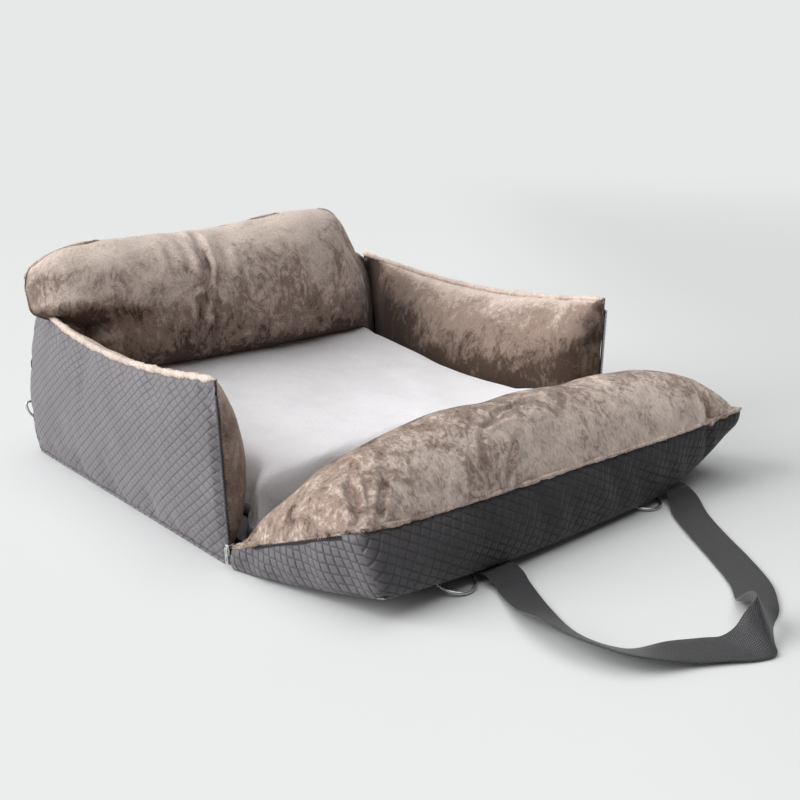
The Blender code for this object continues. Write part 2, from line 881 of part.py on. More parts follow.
def rear_handle():
    """The matching handle, which hangs behind the back wall."""
    y = half_depth + seam_gap + webbing_thickness / 2
    points, lay = [], []
    for across, out, down, way in rear_handle_way_shares:
        z = rear_handle_height - down * rear_handle_drop
        points.append(Vector((-across * handle_half_span, y + out * rear_handle_stand_off, z)))
        lay.append(Vector((way[0], way[1], -way[2])))
    points += [Vector((-p.x, p.y, p.z)) for p in reversed(points[:-1])]
    lay += [Vector((-v.x, v.y, v.z)) for v in reversed(lay[:-1])]
    handle("rear_handle", points, lay, Vector((0, y, rear_handle_height)))
    for side, word in ((-1, "left"), (1, "right")):
        x, foot = side * handle_half_span, rear_handle_height + strap_play
        centres = [Vector((x, y, foot + share * patch_length)) for share in (0, 0.5, 1)]
        patch = [Vector((1, 0, 0))] * 3
        ribbon(
            f"rear_handle_patch_{word}", webbing, centres, patch, webbing_width, webbing_thickness
        )


clear_scene()
seat = new_collection("dog_car_seat")
cutters = new_collection("cutters")
quilt = new_material("quilted_grey", (0.2, 0.195, 0.205), 0.6)
plush = new_material("taupe_plush", (0.32, 0.25, 0.21), 0.95)
mat_plush = new_material("white_plush", (0.83, 0.82, 0.85), 0.95)
lining_cloth = new_material("lining_cloth", (0.25, 0.24, 0.25), 0.85)
filling = new_material("filling", (0.8, 0.8, 0.78), 0.95)
board = new_material("stiff_board", (0.3, 0.27, 0.22), 0.8)
webbing = new_material("dark_webbing", (0.06, 0.06, 0.065), 0.55)
zip_coil = new_material("zip_coil", (0.05, 0.05, 0.05), 0.4)
steel = new_material("nickel_steel", (0.75, 0.75, 0.76), 0.25, metallic=1.0)

base()
side_wall(-1, "left")
side_wall(1, "right")
back_wall()
seat_mat()
back_cushion()
front_panel()
bm = bmesh.new()
bm.from_mesh(seat.objects["front_panel_outer"].data)
underside = BVHTree.FromBMesh(bm)
bm.free()
fold_strip()
zips()
rings()
front_handle()
rear_handle()
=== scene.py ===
"""Dresses the dog car seat: swollen plush and quilted cloth, zips, rings, webbing and a pale studio floor.

Units are metres and +Z is up. X runs across the bed, -Y is the front, and the front panel lies open.
"""

import functools
import math

import bmesh
import bpy
from mathutils import Matrix, Vector, noise


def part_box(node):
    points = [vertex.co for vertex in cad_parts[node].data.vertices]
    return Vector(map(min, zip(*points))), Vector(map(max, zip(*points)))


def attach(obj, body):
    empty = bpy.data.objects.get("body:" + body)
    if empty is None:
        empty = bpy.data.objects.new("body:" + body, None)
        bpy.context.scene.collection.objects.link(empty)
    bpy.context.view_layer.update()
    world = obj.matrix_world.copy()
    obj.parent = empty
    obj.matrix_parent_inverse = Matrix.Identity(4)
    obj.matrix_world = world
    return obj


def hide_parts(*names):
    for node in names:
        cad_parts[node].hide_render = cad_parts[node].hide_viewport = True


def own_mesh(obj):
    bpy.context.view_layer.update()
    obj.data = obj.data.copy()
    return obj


bl_info = {
    "name": "Dog car seat",
    "version": (1, 0, 0),
    "blender": (4, 5, 0),
    "location": "3D View > Sidebar > Seat",
    "description": "Makes the soft pieces, metal fittings, webbing and studio of a dog car seat",
    "category": "Object",
}

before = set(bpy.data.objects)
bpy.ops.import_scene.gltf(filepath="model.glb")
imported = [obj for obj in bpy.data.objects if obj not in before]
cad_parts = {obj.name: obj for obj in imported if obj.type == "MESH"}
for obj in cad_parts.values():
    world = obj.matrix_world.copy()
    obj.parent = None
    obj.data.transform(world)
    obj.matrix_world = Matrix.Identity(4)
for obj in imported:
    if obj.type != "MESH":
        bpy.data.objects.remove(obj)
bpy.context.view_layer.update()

# The bed's main sizes, as its solids have them
half_width, half_depth, base_cover_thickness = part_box("base_cover")[1]
bed_depth = 2 * half_depth

# Cloths, webbing and clearances
quilt_thickness = 0.002
plush_thickness = 0.003
webbing_width = 0.046
webbing_thickness = 0.002
seam_gap = 0.0003
floor_gap = 0.0006

# Side and back walls
wall_foot = base_cover_thickness + seam_gap
wall_height = 0.218
wall_top_sag = 0.022
wall_bow = 0.009
wall_front_flare = 0.007
wall_straight_front = 0.1
wall_back_lean = 0.022
right_wall_back_rise = 0.014
side_wall_filling = 0.078
side_corner_run = 0.19
back_wall_rise = 0.028
back_wall_filling = 0.042
back_corner_run = 0.095
wall_corner = 0.0062

# Seat mat
mat_foot = 0.0123
mat_half_width = half_width - 0.081
mat_front = -half_depth + 0.008
mat_back = half_depth - 0.05
mat_filling = 0.074
mat_back_rise = 0.036
mat_corner_spread = 0.037
mat_corner_reach = 0.07
mat_corner_run = 0.06
mat_side_power, mat_end_power = 24, 26

# Back cushion
cushion_foot_y = half_depth - 0.098
cushion_bottom = 0.1162
cushion_height = 0.1938
cushion_right_peak = 0.017
cushion_lean = 0.042
cushion_seam_setback = 0.02
cushion_front_filling = 0.057
cushion_rear_filling = 0.042
cushion_left_low = half_width - 0.085
cushion_left_step = 0.028
cushion_left_overhang = 0.068
cushion_right_low = half_width - 0.087
cushion_right_taper = 0.03
cushion_corner_drop = 0.026
cushion_corner_radius = 0.022
cushion_left_power, cushion_right_power = 8, 20

# Front panel, open on the floor
fold_y = -half_depth - 0.0105
fold_height = 0.027
panel_seam_run = 0.18
panel_band_run = 0.208
panel_right_stretch = 0.034
panel_left_inset = 0.03
panel_low_left_inset = 0.012
panel_right_spread = 0.034
panel_seam_height = 0.083
panel_seam_end_rise = 0.013
panel_low_seam_height = 0.0105
panel_left_lift = 0.02
panel_right_lift = 0.07
panel_filling = 0.1
panel_left_power, panel_right_power = 3.0, 6.0
panel_right_flattening = 0.09
plush_corner_inset = 0.028

# Zips and their sliders
zip_foot = 0.012
zip_top_margin = 0.016
zip_pitch = 0.0022
zip_bead_radius = 0.0014
slider_width = 0.008
slider_height = 0.014
slider_rest_height = 0.016
pull_length = 0.021

# Rings and handles
ring_wire_radius = 0.002
ring_width = 0.052
ring_reach = 0.031
tab_width = 0.03
tab_layer = 0.0012
tab_tail = 0.012
handle_half_span = 0.1705
front_handle_middle = 0.0455
rear_handle_height = 0.185
rear_handle_drop = 0.14
rear_handle_stand_off = 0.026
front_handle_axis = (-0.482, 0.012767)
rear_ring = (0.315, 0.2638, 0.076)
# Each front ring's bar, how far its arc falls and how far its tab drops, as the solids have them
front_rings = (
    ("front_left", (-0.1748, -0.4575, 0.01124), 0.00864, 0.0014),
    ("front_right", (0.1662, -0.4575, 0.006047), 0.003447, 0.0008),
)

# How the covers swell, thin out and stand off their seams, and how thick their rolled edges are
swell_reach = 0.003
back_wall_swell_reach = 0.002
swell_moments = 20
cover_share = 0.8
wall_seam_lift = 0.004
panel_seam_lift = 0.003
lining_gap = 0.0022
back_wall_end_gap = 0.0026
outside_bulge = 0.003
wall_top_lean = 0.012
rim_inset = 0.0042
side_edge_radius = 0.0044
back_edge_radius = 0.0036
panel_edge_radius = 0.0028
panel_end_edge_radius = 0.0026
# Each soft piece's waves: how long, how high and from which seed; the side walls' seeds count from theirs
side_wall_waves = (0.05, 0.0016, 3)
mat_waves = (0.12, 0.003, 9)
cushion_waves = (0.06, 0.0025, 5)
panel_waves = (0.07, 0.0022, 7)
# The quilted strip round the panel: cells and turn of the quilt at its left end, front and right end, its
# fullness as a share of its height, its waves, and the dent near its right corner
strip_cells = (24, 88, 28)
strip_turns = (48, -10, 20)
strip_fullness = 0.1
strip_waves = 0.0065
strip_dent, strip_dent_x, strip_dent_width = 0.01, 0.286, 0.006
# The sewing thread, the base's round corners and the fold's cloth
thread_pitch, thread_radius, thread_share = 0.0028, 0.0004, 0.62
base_corner = 0.012
fold_cloth_thickness = 0.001
fold_cloth_inset = 0.012

# Zip tapes and teeth: how far ahead of the wall they lie, each tape's width and thickness
wall_tape_lead = 0.0016
wall_teeth_lead = 0.0045
wall_tape = (0.0026, 0.001)
panel_tape = (0.0022, 0.0008)
teeth_stagger = 0.0005
# The sliders' and pulls' metal
slider_depth = 0.0078
slider_bridge = 0.0022
pull_thickness = 0.001
soft_metal_edge = 0.0002

# The photograph's camera, then the studio
camera_place = (-0.867, -1.1486, 0.5045)
camera_dip = 16.85
camera_turn = 41.825
camera_lens = 45.05
camera_sensor = 36
floor_radius = 24
key_place, key_spread = (-1.7, 1.1, 1.0), 45
top_place, top_spread = (-0.2, 0.1, 2.2), 75

# The front handle's way round its loop: across the bed, out from the panel, its lift, its width's lay
front_handle_way = (
    (-1.0, 0.0, 1.0, (1, 0, 0)),
    (-1.015, 0.1, 0.5, (1, 0, 0)),
    (-1.065, 0.2, 0.05, (1, -0.05, -0.05)),
    (-1.2, 0.45, 0.0, (0.95, -0.1, -0.22)),
    (-1.29, 0.68, 0.0, (0.86, -0.15, -0.48)),
    (-1.315, 0.86, 0.0, (0.87, 0.0, -0.5)),
    (-1.28, 1.04, 0.0, (0.83, 0.22, -0.46)),
    (-1.19, 1.18, 0.0, (0.72, 0.5, -0.35)),
    (-0.95, 1.3, 0.0, (0.5, 0.85, -0.1)),
    (-0.77, 1.41, 0.0, (0.45, 0.88, -0.05)),
    (-0.65, 1.49, 0.0, (0.3, 0.93, 0.03)),
    (-0.55, 1.535, 0.0, (0.12, 0.9, 0.3)),
    (-0.46, 1.525, 0.0, (-0.15, 0.4, 0.85)),
    (-0.33, 1.44, 0.0, (-0.4, 0.35, 0.8)),
    (-0.12, 1.3, 0.0, (-0.75, 0.62, 0.15)),
    (0.1, 1.13, 0.0, (-0.77, 0.64, 0.02)),
    (0.33, 0.85, 0.0, (-0.78, 0.62, 0.0)),
    (0.54, 0.56, 0.0, (-0.78, 0.62, 0.02)),
    (0.77, 0.27, 0.0, (-0.84, 0.54, 0.02)),
    (0.95, 0.09, 0.4, (-0.95, 0.3, 0.0)),
    (1.0, 0.0, 1.0, (-1, 0, 0)),
)
# Half of the rear handle's way down behind the back wall: across, out from the wall and down
rear_handle_way = (
    (1.0, 0.0, 0.0, (1, 0, 0)),
    (1.0, 0.1, 0.3, (1, 0, 0)),
    (0.93, 0.45, 0.62, (0.8, 0.5, 0.2)),
    (0.7, 0.9, 0.87, (0.3, 0.95, 0.1)),
    (0.36, 1.0, 0.98, (0.05, 1, 0)),
    (0.0, 1.0, 1.0, (0, 1, 0)),
)


def colour_setting(name, description, default):
    return bpy.props.FloatVectorProperty(
        name=name, description=description, default=default, subtype="COLOR", min=0, max=1
    )


def amount_setting(name, description, default, **limits):
    return bpy.props.FloatProperty(name=name, description=description, default=default, min=0, **limits)


class ClothSettings(bpy.types.PropertyGroup):
    """The colours and patterns of the cloths."""

    quilt_colour: colour_setting("Quilt colour", "Colour of the quilted outside", (0.18, 0.166, 0.181))
    quilt_diamond: bpy.props.FloatVectorProperty(
        name="Quilt diamond",
        description="Width and height of one quilted diamond",
        default=(0.0165, 0.0132),
        size=2,
        subtype="XYZ_LENGTH",
        unit="LENGTH",
        min=0.005,
    )
    # Painted shade: the panel's front band keeps only this share of the quilt's lightness, painted darker
    # as if it stood in shade.
    band_painted_shade: amount_setting(
        "Band shade",
        "How much of the quilt's lightness the panel's front band keeps",
        0.19,
        max=1,
        subtype="FACTOR",
    )
    # The light and dark nap colours also serve as painted light where the plush faces along its turn, and
    # as painted shade where it faces away.
    pale_nap_and_painted_light: colour_setting(
        "Light nap", "Colour of the plush where its nap lies away from the light", (0.7, 0.57, 0.5)
    )
    nap_middle: colour_setting("Middle nap", "Colour of most of the plush", (0.36, 0.268, 0.22))
    dark_nap_and_painted_shade: colour_setting(
        "Dark nap", "Colour of the plush where its nap is brushed up", (0.105, 0.069, 0.052)
    )
    mat_colour: colour_setting("Mat colour", "Colour of the mat's white plush", (0.88, 0.86, 0.885))
    webbing_colour: colour_setting(
        "Webbing colour", "Colour of the handles, tabs and zip tapes", (0.037, 0.038, 0.042)
    )


class PaddingSettings(bpy.types.PropertyGroup):
    """How hard the padding swells the cloth."""

    pressure: amount_setting("Pressure", "Pressure of the filling while the cloth settles", 4.0)
    ease: amount_setting(
        "Ease",
        "Share by which each wall's cover is cut larger than its filling",
        0.05,
        max=0.2,
        subtype="FACTOR",
    )


class StageSettings(bpy.types.PropertyGroup):
    """The studio's floor and lights."""

    floor_colour: colour_setting(
        "Floor colour", "Colour of the floor and of the background", (0.8, 0.81, 0.81)
    )
    key_power: amount_setting("Key light", "Strength of the soft light at the left", 2.9)
    top_power: amount_setting("Top light", "Strength of the soft light overhead", 1.5)
    sky_strength: amount_setting("Room light", "Strength of the light that the room throws back", 0.26)


def mix(low, high, share):
    return low + (high - low) * share


def steps(low, high, count):
    """Even steps from low to high, with both ends."""
    return [mix(low, high, index / count) for index in range(count + 1)]


def smooth_step(share):
    share = min(max(share, 0), 1)
    return share * share * (3 - 2 * share)


def crowded(share):
    """Spreads grid lines over -1 to 1 so that they crowd towards the seams."""
    return math.sin(share * math.pi / 2)


def bell(distance, width):
    return math.exp(-((distance / width) ** 2))


class Shader:
    """A small builder for the nodes of a material, or of the world."""

    def __init__(self, name, make=None):
        self.owner = (make or bpy.data.materials.new)(name)
        self.owner.use_nodes = True
        self.tree = self.owner.node_tree
        self.surface = self.tree.nodes.get("Principled BSDF")

    def node(self, kind, inputs=(), **settings):
        node = self.tree.nodes.new(kind)
        for name, value in settings.items():
            setattr(node, name, value)
        for name, value in dict(inputs).items():
            self.set(node.inputs[name], value)
        return node

    def set(self, socket, value):
        if isinstance(value, bpy.types.NodeSocket):
            self.tree.links.new(value, socket)
        else:
            socket.default_value = value

    def math(self, operation, first, second=0.0):
        return self.node("ShaderNodeMath", {0: first, 1: second}, operation=operation).outputs[0]

    def times(self, *values):
        return functools.reduce(lambda one, two: self.math("MULTIPLY", one, two), values)

    def plus(self, *values):
        return functools.reduce(lambda one, two: self.math("ADD", one, two), values)

    def ramp(self, value, stops):
        node = self.node("ShaderNodeValToRGB", {"Fac": value})
        elements = node.color_ramp.elements
        while len(elements) < len(stops):
            elements.new(0.5)
        for element, (place, colour) in zip(elements, stops):
            element.position = place
            element.color = (*colour, 1)
        return node.outputs["Color"]

    def coordinates(self, scale=(1, 1, 1)):
        place = self.node("ShaderNodeTexCoord").outputs["Object"]
        return self.node("ShaderNodeMapping", {"Vector": place, "Scale": scale}).outputs[0]

    def part(self, place, axis):
        return self.node("ShaderNodeSeparateXYZ", {"Vector": place}).outputs[axis]

    def dot(self, one, two):
        return self.node("ShaderNodeVectorMath", {0: one, 1: two}, operation="DOT_PRODUCT").outputs["Value"]

    def grain(self, place, scale, detail=2.0, roughness=0.5, distortion=0.0):
        inputs = {"Vector": place, "Scale": scale, "Detail": detail}
        inputs.update({"Roughness": roughness, "Distortion": distortion})
        return self.node("ShaderNodeTexNoise", inputs).outputs["Fac"]

    def range(self, value, low, high, to_low=0.0, to_high=1.0, kind="SMOOTHSTEP"):
        inputs = dict(enumerate((value, low, high, to_low, to_high)))
        return self.node("ShaderNodeMapRange", inputs, interpolation_type=kind).outputs[0]

    def grey(self, shade):
        return self.node("ShaderNodeCombineColor", {0: shade, 1: shade, 2: shade}).outputs[0]

    def tint(self, colour, shade):
        """A colour made darker or lighter by a value."""
        colour = (*colour, 1) if isinstance(colour, tuple) else colour
        inputs = {0: 1.0, 6: colour, 7: self.grey(shade)}
        return self.node("ShaderNodeMix", inputs, data_type="RGBA", blend_type="MULTIPLY").outputs[2]

    def bump(self, height, distance, strength=1.0, under=None):
        inputs = {"Height": height, "Distance": distance, "Strength": strength}
        if under is not None:
            inputs["Normal"] = under
        return self.node("ShaderNodeBump", inputs).outputs[0]

    def finish(self, colour, roughness, normal=None, sheen=0.0, gloss=0.5, metal=0.0):
        inputs = {"Base Color": colour, "Roughness": roughness, "Sheen Weight": sheen}
        inputs.update({"Specular IOR Level": gloss, "Metallic": metal})
        if normal is not None:
            inputs["Normal"] = normal
        for name, value in inputs.items():
            self.set(self.surface.inputs[name], value)
        return self.owner


def quilt_material(name, colour, diamond, shades=(), relief=1.0):
    """Quilted cloth: soft diamonds between dashed lines of stitches.

    Each of shades paints shade on the cloth, darker from one X to another, and relief deepens its quilting
    and its painted shade.
    """
    shader = Shader(name)
    place = shader.node("ShaderNodeTexCoord").outputs["UV"]
    wobble = shader.times(shader.grain(place, 14, 1), 0.0016)
    across = shader.math("DIVIDE", shader.plus(shader.part(place, 0), wobble), diamond[0])
    up = shader.math("DIVIDE", shader.part(place, 1), diamond[1])
    first, second = shader.plus(across, up), shader.math("SUBTRACT", across, up)
    heights, stitches = [], []
    for way, other in ((first, second), (second, first)):
        off = shader.math("PINGPONG", way, 0.5)
        heights.append(shader.range(off, 0.0, 0.24))
        line = shader.range(off, 0.02, 0.055, 1.0, 0.0)
        dash = shader.math("PINGPONG", shader.times(other, 5.0), 0.5)
        stitches.append(shader.times(line, shader.range(dash, 0.14, 0.24)))
    puff = shader.times(*heights)
    stitch = shader.math("MAXIMUM", *stitches)
    body = shader.coordinates()
    weave = shader.grain(body, 900, 2, 0.6)
    cloud = shader.grain(body, 14, 3, 0.6, 0.6)
    shade = shader.times(
        shader.range(cloud, 0.25, 0.75, 0.9, 1.1),
        shader.range(weave, 0.2, 0.8, 0.9, 1.08),
        # Painted shade: the cloth is darker down between its puffs and a little lighter on their crowns.
        shader.range(puff, 0.0, 1.0, 1 - 0.08 * relief, 1 + 0.03 * relief),
        shader.range(stitch, 0.0, 1.0, 1.0, 1 - 0.4 * relief),
        # Painted shade: each of shades darkens the cloth from one X to another.
        *(shader.range(shader.part(body, 0), *ends) for ends in shades),
    )
    soft = shader.bump(puff, 0.0009 * relief, 0.8)
    dent = shader.bump(shader.math("SUBTRACT", 1.0, stitch), 0.0005, 0.8, soft)
    normal = shader.bump(weave, 0.0002, 0.5, dent)
    rough = shader.range(weave, 0.2, 0.8, 0.5, 0.68)
    return shader.finish(shader.tint(colour, shade), rough, normal, sheen=0.12)


def plush_material(name, cloth, turn, lift, contrast=1.0, fibre_way=(1, 1, 1)):
    """Short plush, pale with dark feathered strokes, and painted lighter or darker by which way it faces.

    The plush is painted palest where it faces along turn, a painted light, and darkest where it faces away,
    a painted shade; lift makes all of it paler.
    """
    shader = Shader(name)
    place = shader.coordinates()
    facing = shader.node("ShaderNodeTexCoord").outputs["Normal"]
    # Painted light and shade: the plush is made paler where it faces along turn and darker where it faces
    # away.
    lay = shader.dot(facing, turn)
    drift = shader.grain(place, 5.5, 2, 0.5, 0.5)
    patches = shader.grain(place, 26, 6, 0.7, 0.8)
    strokes = shader.grain(shader.coordinates((1.0, 1.0, 0.5)), 58, 6, 0.74, 2.0)
    fibres = shader.grain(shader.coordinates(fibre_way), 430, 3, 0.75)
    marks = [
        shader.times(shader.math("SUBTRACT", mark, 0.5), amount)
        for mark, amount in ((drift, 0.9), (patches, 1.8 * contrast), (strokes, 1.7 * contrast))
    ]
    tone = shader.plus(*marks, shader.plus(lay, lift))
    pale = tuple(min(1.25 * part, 0.85) for part in cloth.pale_nap_and_painted_light)
    places = (0.0, 0.28, 0.4, 0.7, 1.0)
    naps = (cloth.dark_nap_and_painted_shade[:], cloth.nap_middle[:], cloth.nap_middle[:], cloth.pale_nap_and_painted_light[:], pale)
    colour = shader.ramp(shader.times(tone, 0.7), tuple(zip(places, naps)))
    shade = shader.range(fibres, 0.25, 0.75, 0.76, 1.16)
    soft = shader.bump(shader.plus(patches, strokes), 0.004, 0.5)
    normal = shader.bump(fibres, 0.0011, 0.8, soft)
    return shader.finish(shader.tint(colour, shade), 0.95, normal, sheen=0.15, gloss=0.1)


def mat_material(name, colour):
    """White plush, almost even, with faint dimples, and painted a little lighter at its front: a painted
    light.
    """
    shader = Shader(name)
    place = shader.coordinates()
    clouds = shader.grain(place, 16, 3, 0.6, 0.2)
    fibres = shader.grain(place, 300, 4, 0.75)
    shade = shader.times(
        shader.range(clouds, 0.3, 0.7, 0.965, 1.02),
        shader.range(fibres, 0.2, 0.8, 0.95, 1.03),
        # Painted light: the front of the mat is painted a little lighter.
        shader.range(shader.part(place, 1), -0.28, 0.05, 1.13, 1.0),
    )
    normal = shader.bump(fibres, 0.0014, 0.8, shader.bump(clouds, 0.004, 0.6))
    return shader.finish(shader.tint(colour, shade), 0.95, normal, sheen=0.2, gloss=0.15)


def plain_cloth_material(name, colour):
    """A plain woven cloth."""
    shader = Shader(name)
    place = shader.coordinates()
    waves = {"Vector": place, "Scale": 300.0}
    threads = shader.times(
        *(shader.node("ShaderNodeTexWave", waves, bands_direction=way).outputs["Fac"] for way in "XY")
    )
    cloud = shader.grain(place, 20, 3)
    shade = shader.times(shader.range(threads, 0, 1, 0.85, 1.1), shader.range(cloud, 0.3, 0.7, 0.92, 1.06))
    return shader.finish(shader.tint(colour, shade), 0.85, shader.bump(threads, 0.0003, 0.6), sheen=0.1)


def webbing_material(name, colour):
    """Woven strap: fine cross ribs in long rows, with a slight sheen."""
    shader = Shader(name)
    place = shader.node("ShaderNodeTexCoord").outputs["UV"]
    row = shader.times(shader.part(place, 1), 420.0)
    shift = shader.times(shader.math("FLOOR", row), 0.5)
    rib = shader.math("PINGPONG", shader.plus(shader.times(shader.part(place, 0), 480.0), shift), 0.5)
    groove = shader.math("PINGPONG", row, 0.5)
    height = shader.times(shader.range(rib, 0.0, 0.45), shader.range(groove, 0.0, 0.3))
    fuzz = shader.grain(shader.coordinates(), 700, 2)
    # Painted light and shade: the ribs are painted lighter and the grooves between them darker.
    shade = shader.times(shader.range(height, 0, 1, 0.4, 1.75), shader.range(fuzz, 0.3, 0.7, 0.88, 1.1))
    normal = shader.bump(height, 0.0006, 0.9)
    return shader.finish(shader.tint(colour, shade), 0.42, normal, sheen=0.15, gloss=0.6)


def coil_material(name, colour):
    """Dark moulded plastic of a zip's teeth."""
    shader = Shader(name)
    fine = shader.grain(shader.coordinates(), 500, 2)
    shade = shader.range(fine, 0.3, 0.7, 0.8, 1.15)
    return shader.finish(shader.tint(colour, shade), 0.38, shader.bump(fine, 0.0001, 0.3))


def board_material(name):
    """Hard pressed board."""
    shader = Shader(name)
    fibre = shader.grain(shader.coordinates(), 240, 4, 0.7, 0.4)
    shade = shader.range(fibre, 0.3, 0.7, 0.8, 1.15)
    return shader.finish(shader.tint((0.3, 0.25, 0.19), shade), 0.8, shader.bump(fibre, 0.0003, 0.5))


def nickel_material(name):
    """Polished nickel with faint scratches and duller patches."""
    shader = Shader(name)
    place = shader.coordinates()
    cloud = shader.grain(place, 160, 3, 0.6, 0.5)
    scratch = shader.grain(shader.coordinates((1, 1, 12)), 260, 3, 0.7)
    colour = shader.tint((0.72, 0.71, 0.69), shader.range(cloud, 0.3, 0.7, 0.9, 1.08))
    rough = shader.range(cloud, 0.3, 0.75, 0.16, 0.34)
    return shader.finish(colour, rough, shader.bump(scratch, 0.00006, 0.4), metal=1.0)


def cloths():
    """The finishes of this seat, made once."""
    made = bpy.data.materials
    if "Quilted cloth" not in made:
        cloth = bpy.context.scene.seat_cloth
        quilt_material("Quilted cloth", cloth.quilt_colour[:], cloth.quilt_diamond[:])
        # Painted shade: the strip is painted darker on its left end than the quilt, and darker still from
        # its left corner on.
        dark = cloth.band_painted_shade
        shades = ((-0.302, -0.282, 0.74, 0.74 * 0.62), (-0.27, -0.12, 1.0, dark / 0.46))
        quilt_material("Quilted strip", cloth.quilt_colour[:], cloth.quilt_diamond[:], shades, 1.7)
        # Painted light and shade: each plush is painted paler where it faces along its turn and darker
        # where it faces away; the first four are one taupe plush, painted lighter or darker all over by
        # their lifts.
        plush_material("Taupe plush", cloth, (0.45, 0, 1.0), 0.27, 0.75)
        plush_material("Cushion plush", cloth, (0, 0, 0.9), 0.58, 1.25)
        plush_material("Rear plush", cloth, (0, 0.2, 0.8), 0.62, 1.3)
        plush_material("Brushed plush", cloth, (0, -0.6, 0.1), 0.5, 1.45, (1, 0.35, 0.35))
        plush_material("Plush edge", cloth, (0, 0, 0.2), 1.1)
        mat_material("White plush", cloth.mat_colour[:])
        plain_cloth_material("Lining cloth", (0.2, 0.19, 0.2))
        webbing_material("Dark webbing", cloth.webbing_colour[:])
        coil_material("Zip plastic", (0.035, 0.035, 0.037))
        nickel_material("Nickel")
        board_material("Pressed board")
    return made


def add_object(name, data):
    obj = bpy.data.objects.new(name, data)
    bpy.context.scene.collection.objects.link(obj)
    return obj


def place_mesh(bm, name, finish):
    """Puts a bmesh into a new object of the scene."""
    mesh = bpy.data.meshes.new(name)
    bm.to_mesh(mesh)
    bm.free()
    mesh.shade_smooth()
    mesh.materials.append(cloths()[finish])
    return add_object(name, mesh)


def thicken(sheet, thickness, offset=-1):
    """Gives a sheet its thickness."""
    layer = sheet.modifiers.new("cloth", "SOLIDIFY")
    layer.thickness, layer.offset = thickness, offset


def soften(obj, width, segments):
    """Takes off the sharp edges."""
    edge = obj.modifiers.new("soft edge", "BEVEL")
    edge.width, edge.segments = width, segments


def run_lengths(points):
    """How far along the way through them each of the points is."""
    lengths = [0.0]
    for a, b in zip(points, points[1:]):
        lengths.append(lengths[-1] + (b - a).length)
    return lengths


def wear(obj, body, slot, *nodes):
    """Ties a finished piece to the body it moves with and hides the solids it stands for; slot is not used.
    """
    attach(obj, body)
    if nodes:
        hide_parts(*nodes)
    return obj


def add_grid(bm, point, cells, flat, side=0):
    """Adds a grid whose corner (s, t) in -1..1 goes to point(s, t), with its cloth measured flat."""
    cloth = bm.loops.layers.uv.verify()
    sides = bm.faces.layers.int.get("side") or bm.faces.layers.int.new("side")
    grid = bmesh.ops.create_grid(bm, x_segments=cells[0], y_segments=cells[1], size=1)["verts"]
    shares = {vert: (crowded(vert.co.x), crowded(vert.co.y)) for vert in grid}
    for face in {face for vert in grid for face in vert.link_faces}:
        face[sides] = side
        for loop in face.loops:
            s, t = shares[loop.vert]
            loop[cloth].uv = ((s + 1) / 2 * flat[0], (t + 1) / 2 * flat[1])
    for vert, (s, t) in shares.items():
        vert.co = point(s, t)
    return shares


def pinched(sheet, other, width):
    """A sheet that runs into the middle of the seam it shares with another."""

    def point(s, t):
        rim = (sheet(s, t) + other(s, t)) / 2
        inside = 1 - max(abs(s), abs(t))
        return rim.lerp(sheet(s, t), smooth_step(inside / width) ** 0.5)

    return point


def stuffed(name, sheets, cells, flat, held=(), loose=False):
    """A closed body of two sheets on one seam.

    The held sheets stay put, and so does the seam, or only its foot where the body is loose.
    """
    bm = bmesh.new()
    pins = bm.verts.layers.deform.verify()
    for side, (sheet, other) in enumerate((sheets, sheets[::-1])):
        shares = add_grid(bm, pinched(sheet, other, 0.012 if loose else 0.06), cells, flat, side)
        for vert, (s, t) in shares.items():
            fixed = side in held or (t < -0.999 if loose else max(abs(s), abs(t)) > 0.999)
            vert[pins][0] = 1.0 if fixed else 0.0
    bmesh.ops.remove_doubles(bm, verts=bm.verts, dist=0.00002)
    bmesh.ops.recalc_face_normals(bm, faces=bm.faces)
    if bm.calc_volume(signed=True) < 0:
        bmesh.ops.reverse_faces(bm, faces=bm.faces)
    body = place_mesh(bm, name, "Taupe plush")
    body.vertex_groups.new(name="seam")
    return body


def swell(body, ease=None, reach=swell_reach):
    """Lets the filling blow the cloth up, and keeps each point within reach of its first place."""
    scene = bpy.context.scene
    padding = scene.seat_padding
    rest = [vert.co.copy() for vert in body.data.vertices]
    settle = body.modifiers.new("settle", "CLOTH")
    cloth = settle.settings
    cloth.quality = 6
    cloth.mass = 0.3
    cloth.tension_stiffness = cloth.compression_stiffness = 15
    cloth.shear_stiffness = 5
    cloth.bending_stiffness = 0.4
    cloth.use_pressure = True
    cloth.uniform_pressure_force = padding.pressure
    cloth.vertex_group_mass = "seam"
    cloth.shrink_min = -(padding.ease if ease is None else ease)
    cloth.effector_weights.gravity = 0
    settle.collision_settings.use_collision = False
    settle.point_cache.frame_start, settle.point_cache.frame_end = 1, swell_moments
    for moment in range(1, swell_moments + 1):
        scene.frame_set(moment)
    shape = body.evaluated_get(bpy.context.evaluated_depsgraph_get()).to_mesh()
    moved = [vert.co.copy() for vert in shape.vertices]
    body.modifiers.remove(settle)
    scene.frame_set(1)
    for vert, first, last in zip(body.data.vertices, rest, moved):
        way = last - first
        if way.length > reach:
            way *= reach / way.length
        vert.co = first + way


def refine(body, levels):
    """Subdivides a body and keeps the finer mesh."""
    smooth = body.modifiers.new("refine", "SUBSURF")
    smooth.levels = smooth.render_levels = levels
    graph = bpy.context.evaluated_depsgraph_get()
    finer = bpy.data.meshes.new_from_object(body.evaluated_get(graph))
    body.modifiers.clear()
    coarse, body.data = body.data, finer
    bpy.data.meshes.remove(coarse)


def shape_points(body, change):
    """Moves each point of a body by change(place, outward), all at once."""
    points = [(vert.co.copy(), vert.normal.copy()) for vert in body.data.vertices]
    for vert, (place, outward) in zip(body.data.vertices, points):
        vert.co = place + change(place, outward)
    body.data.update()


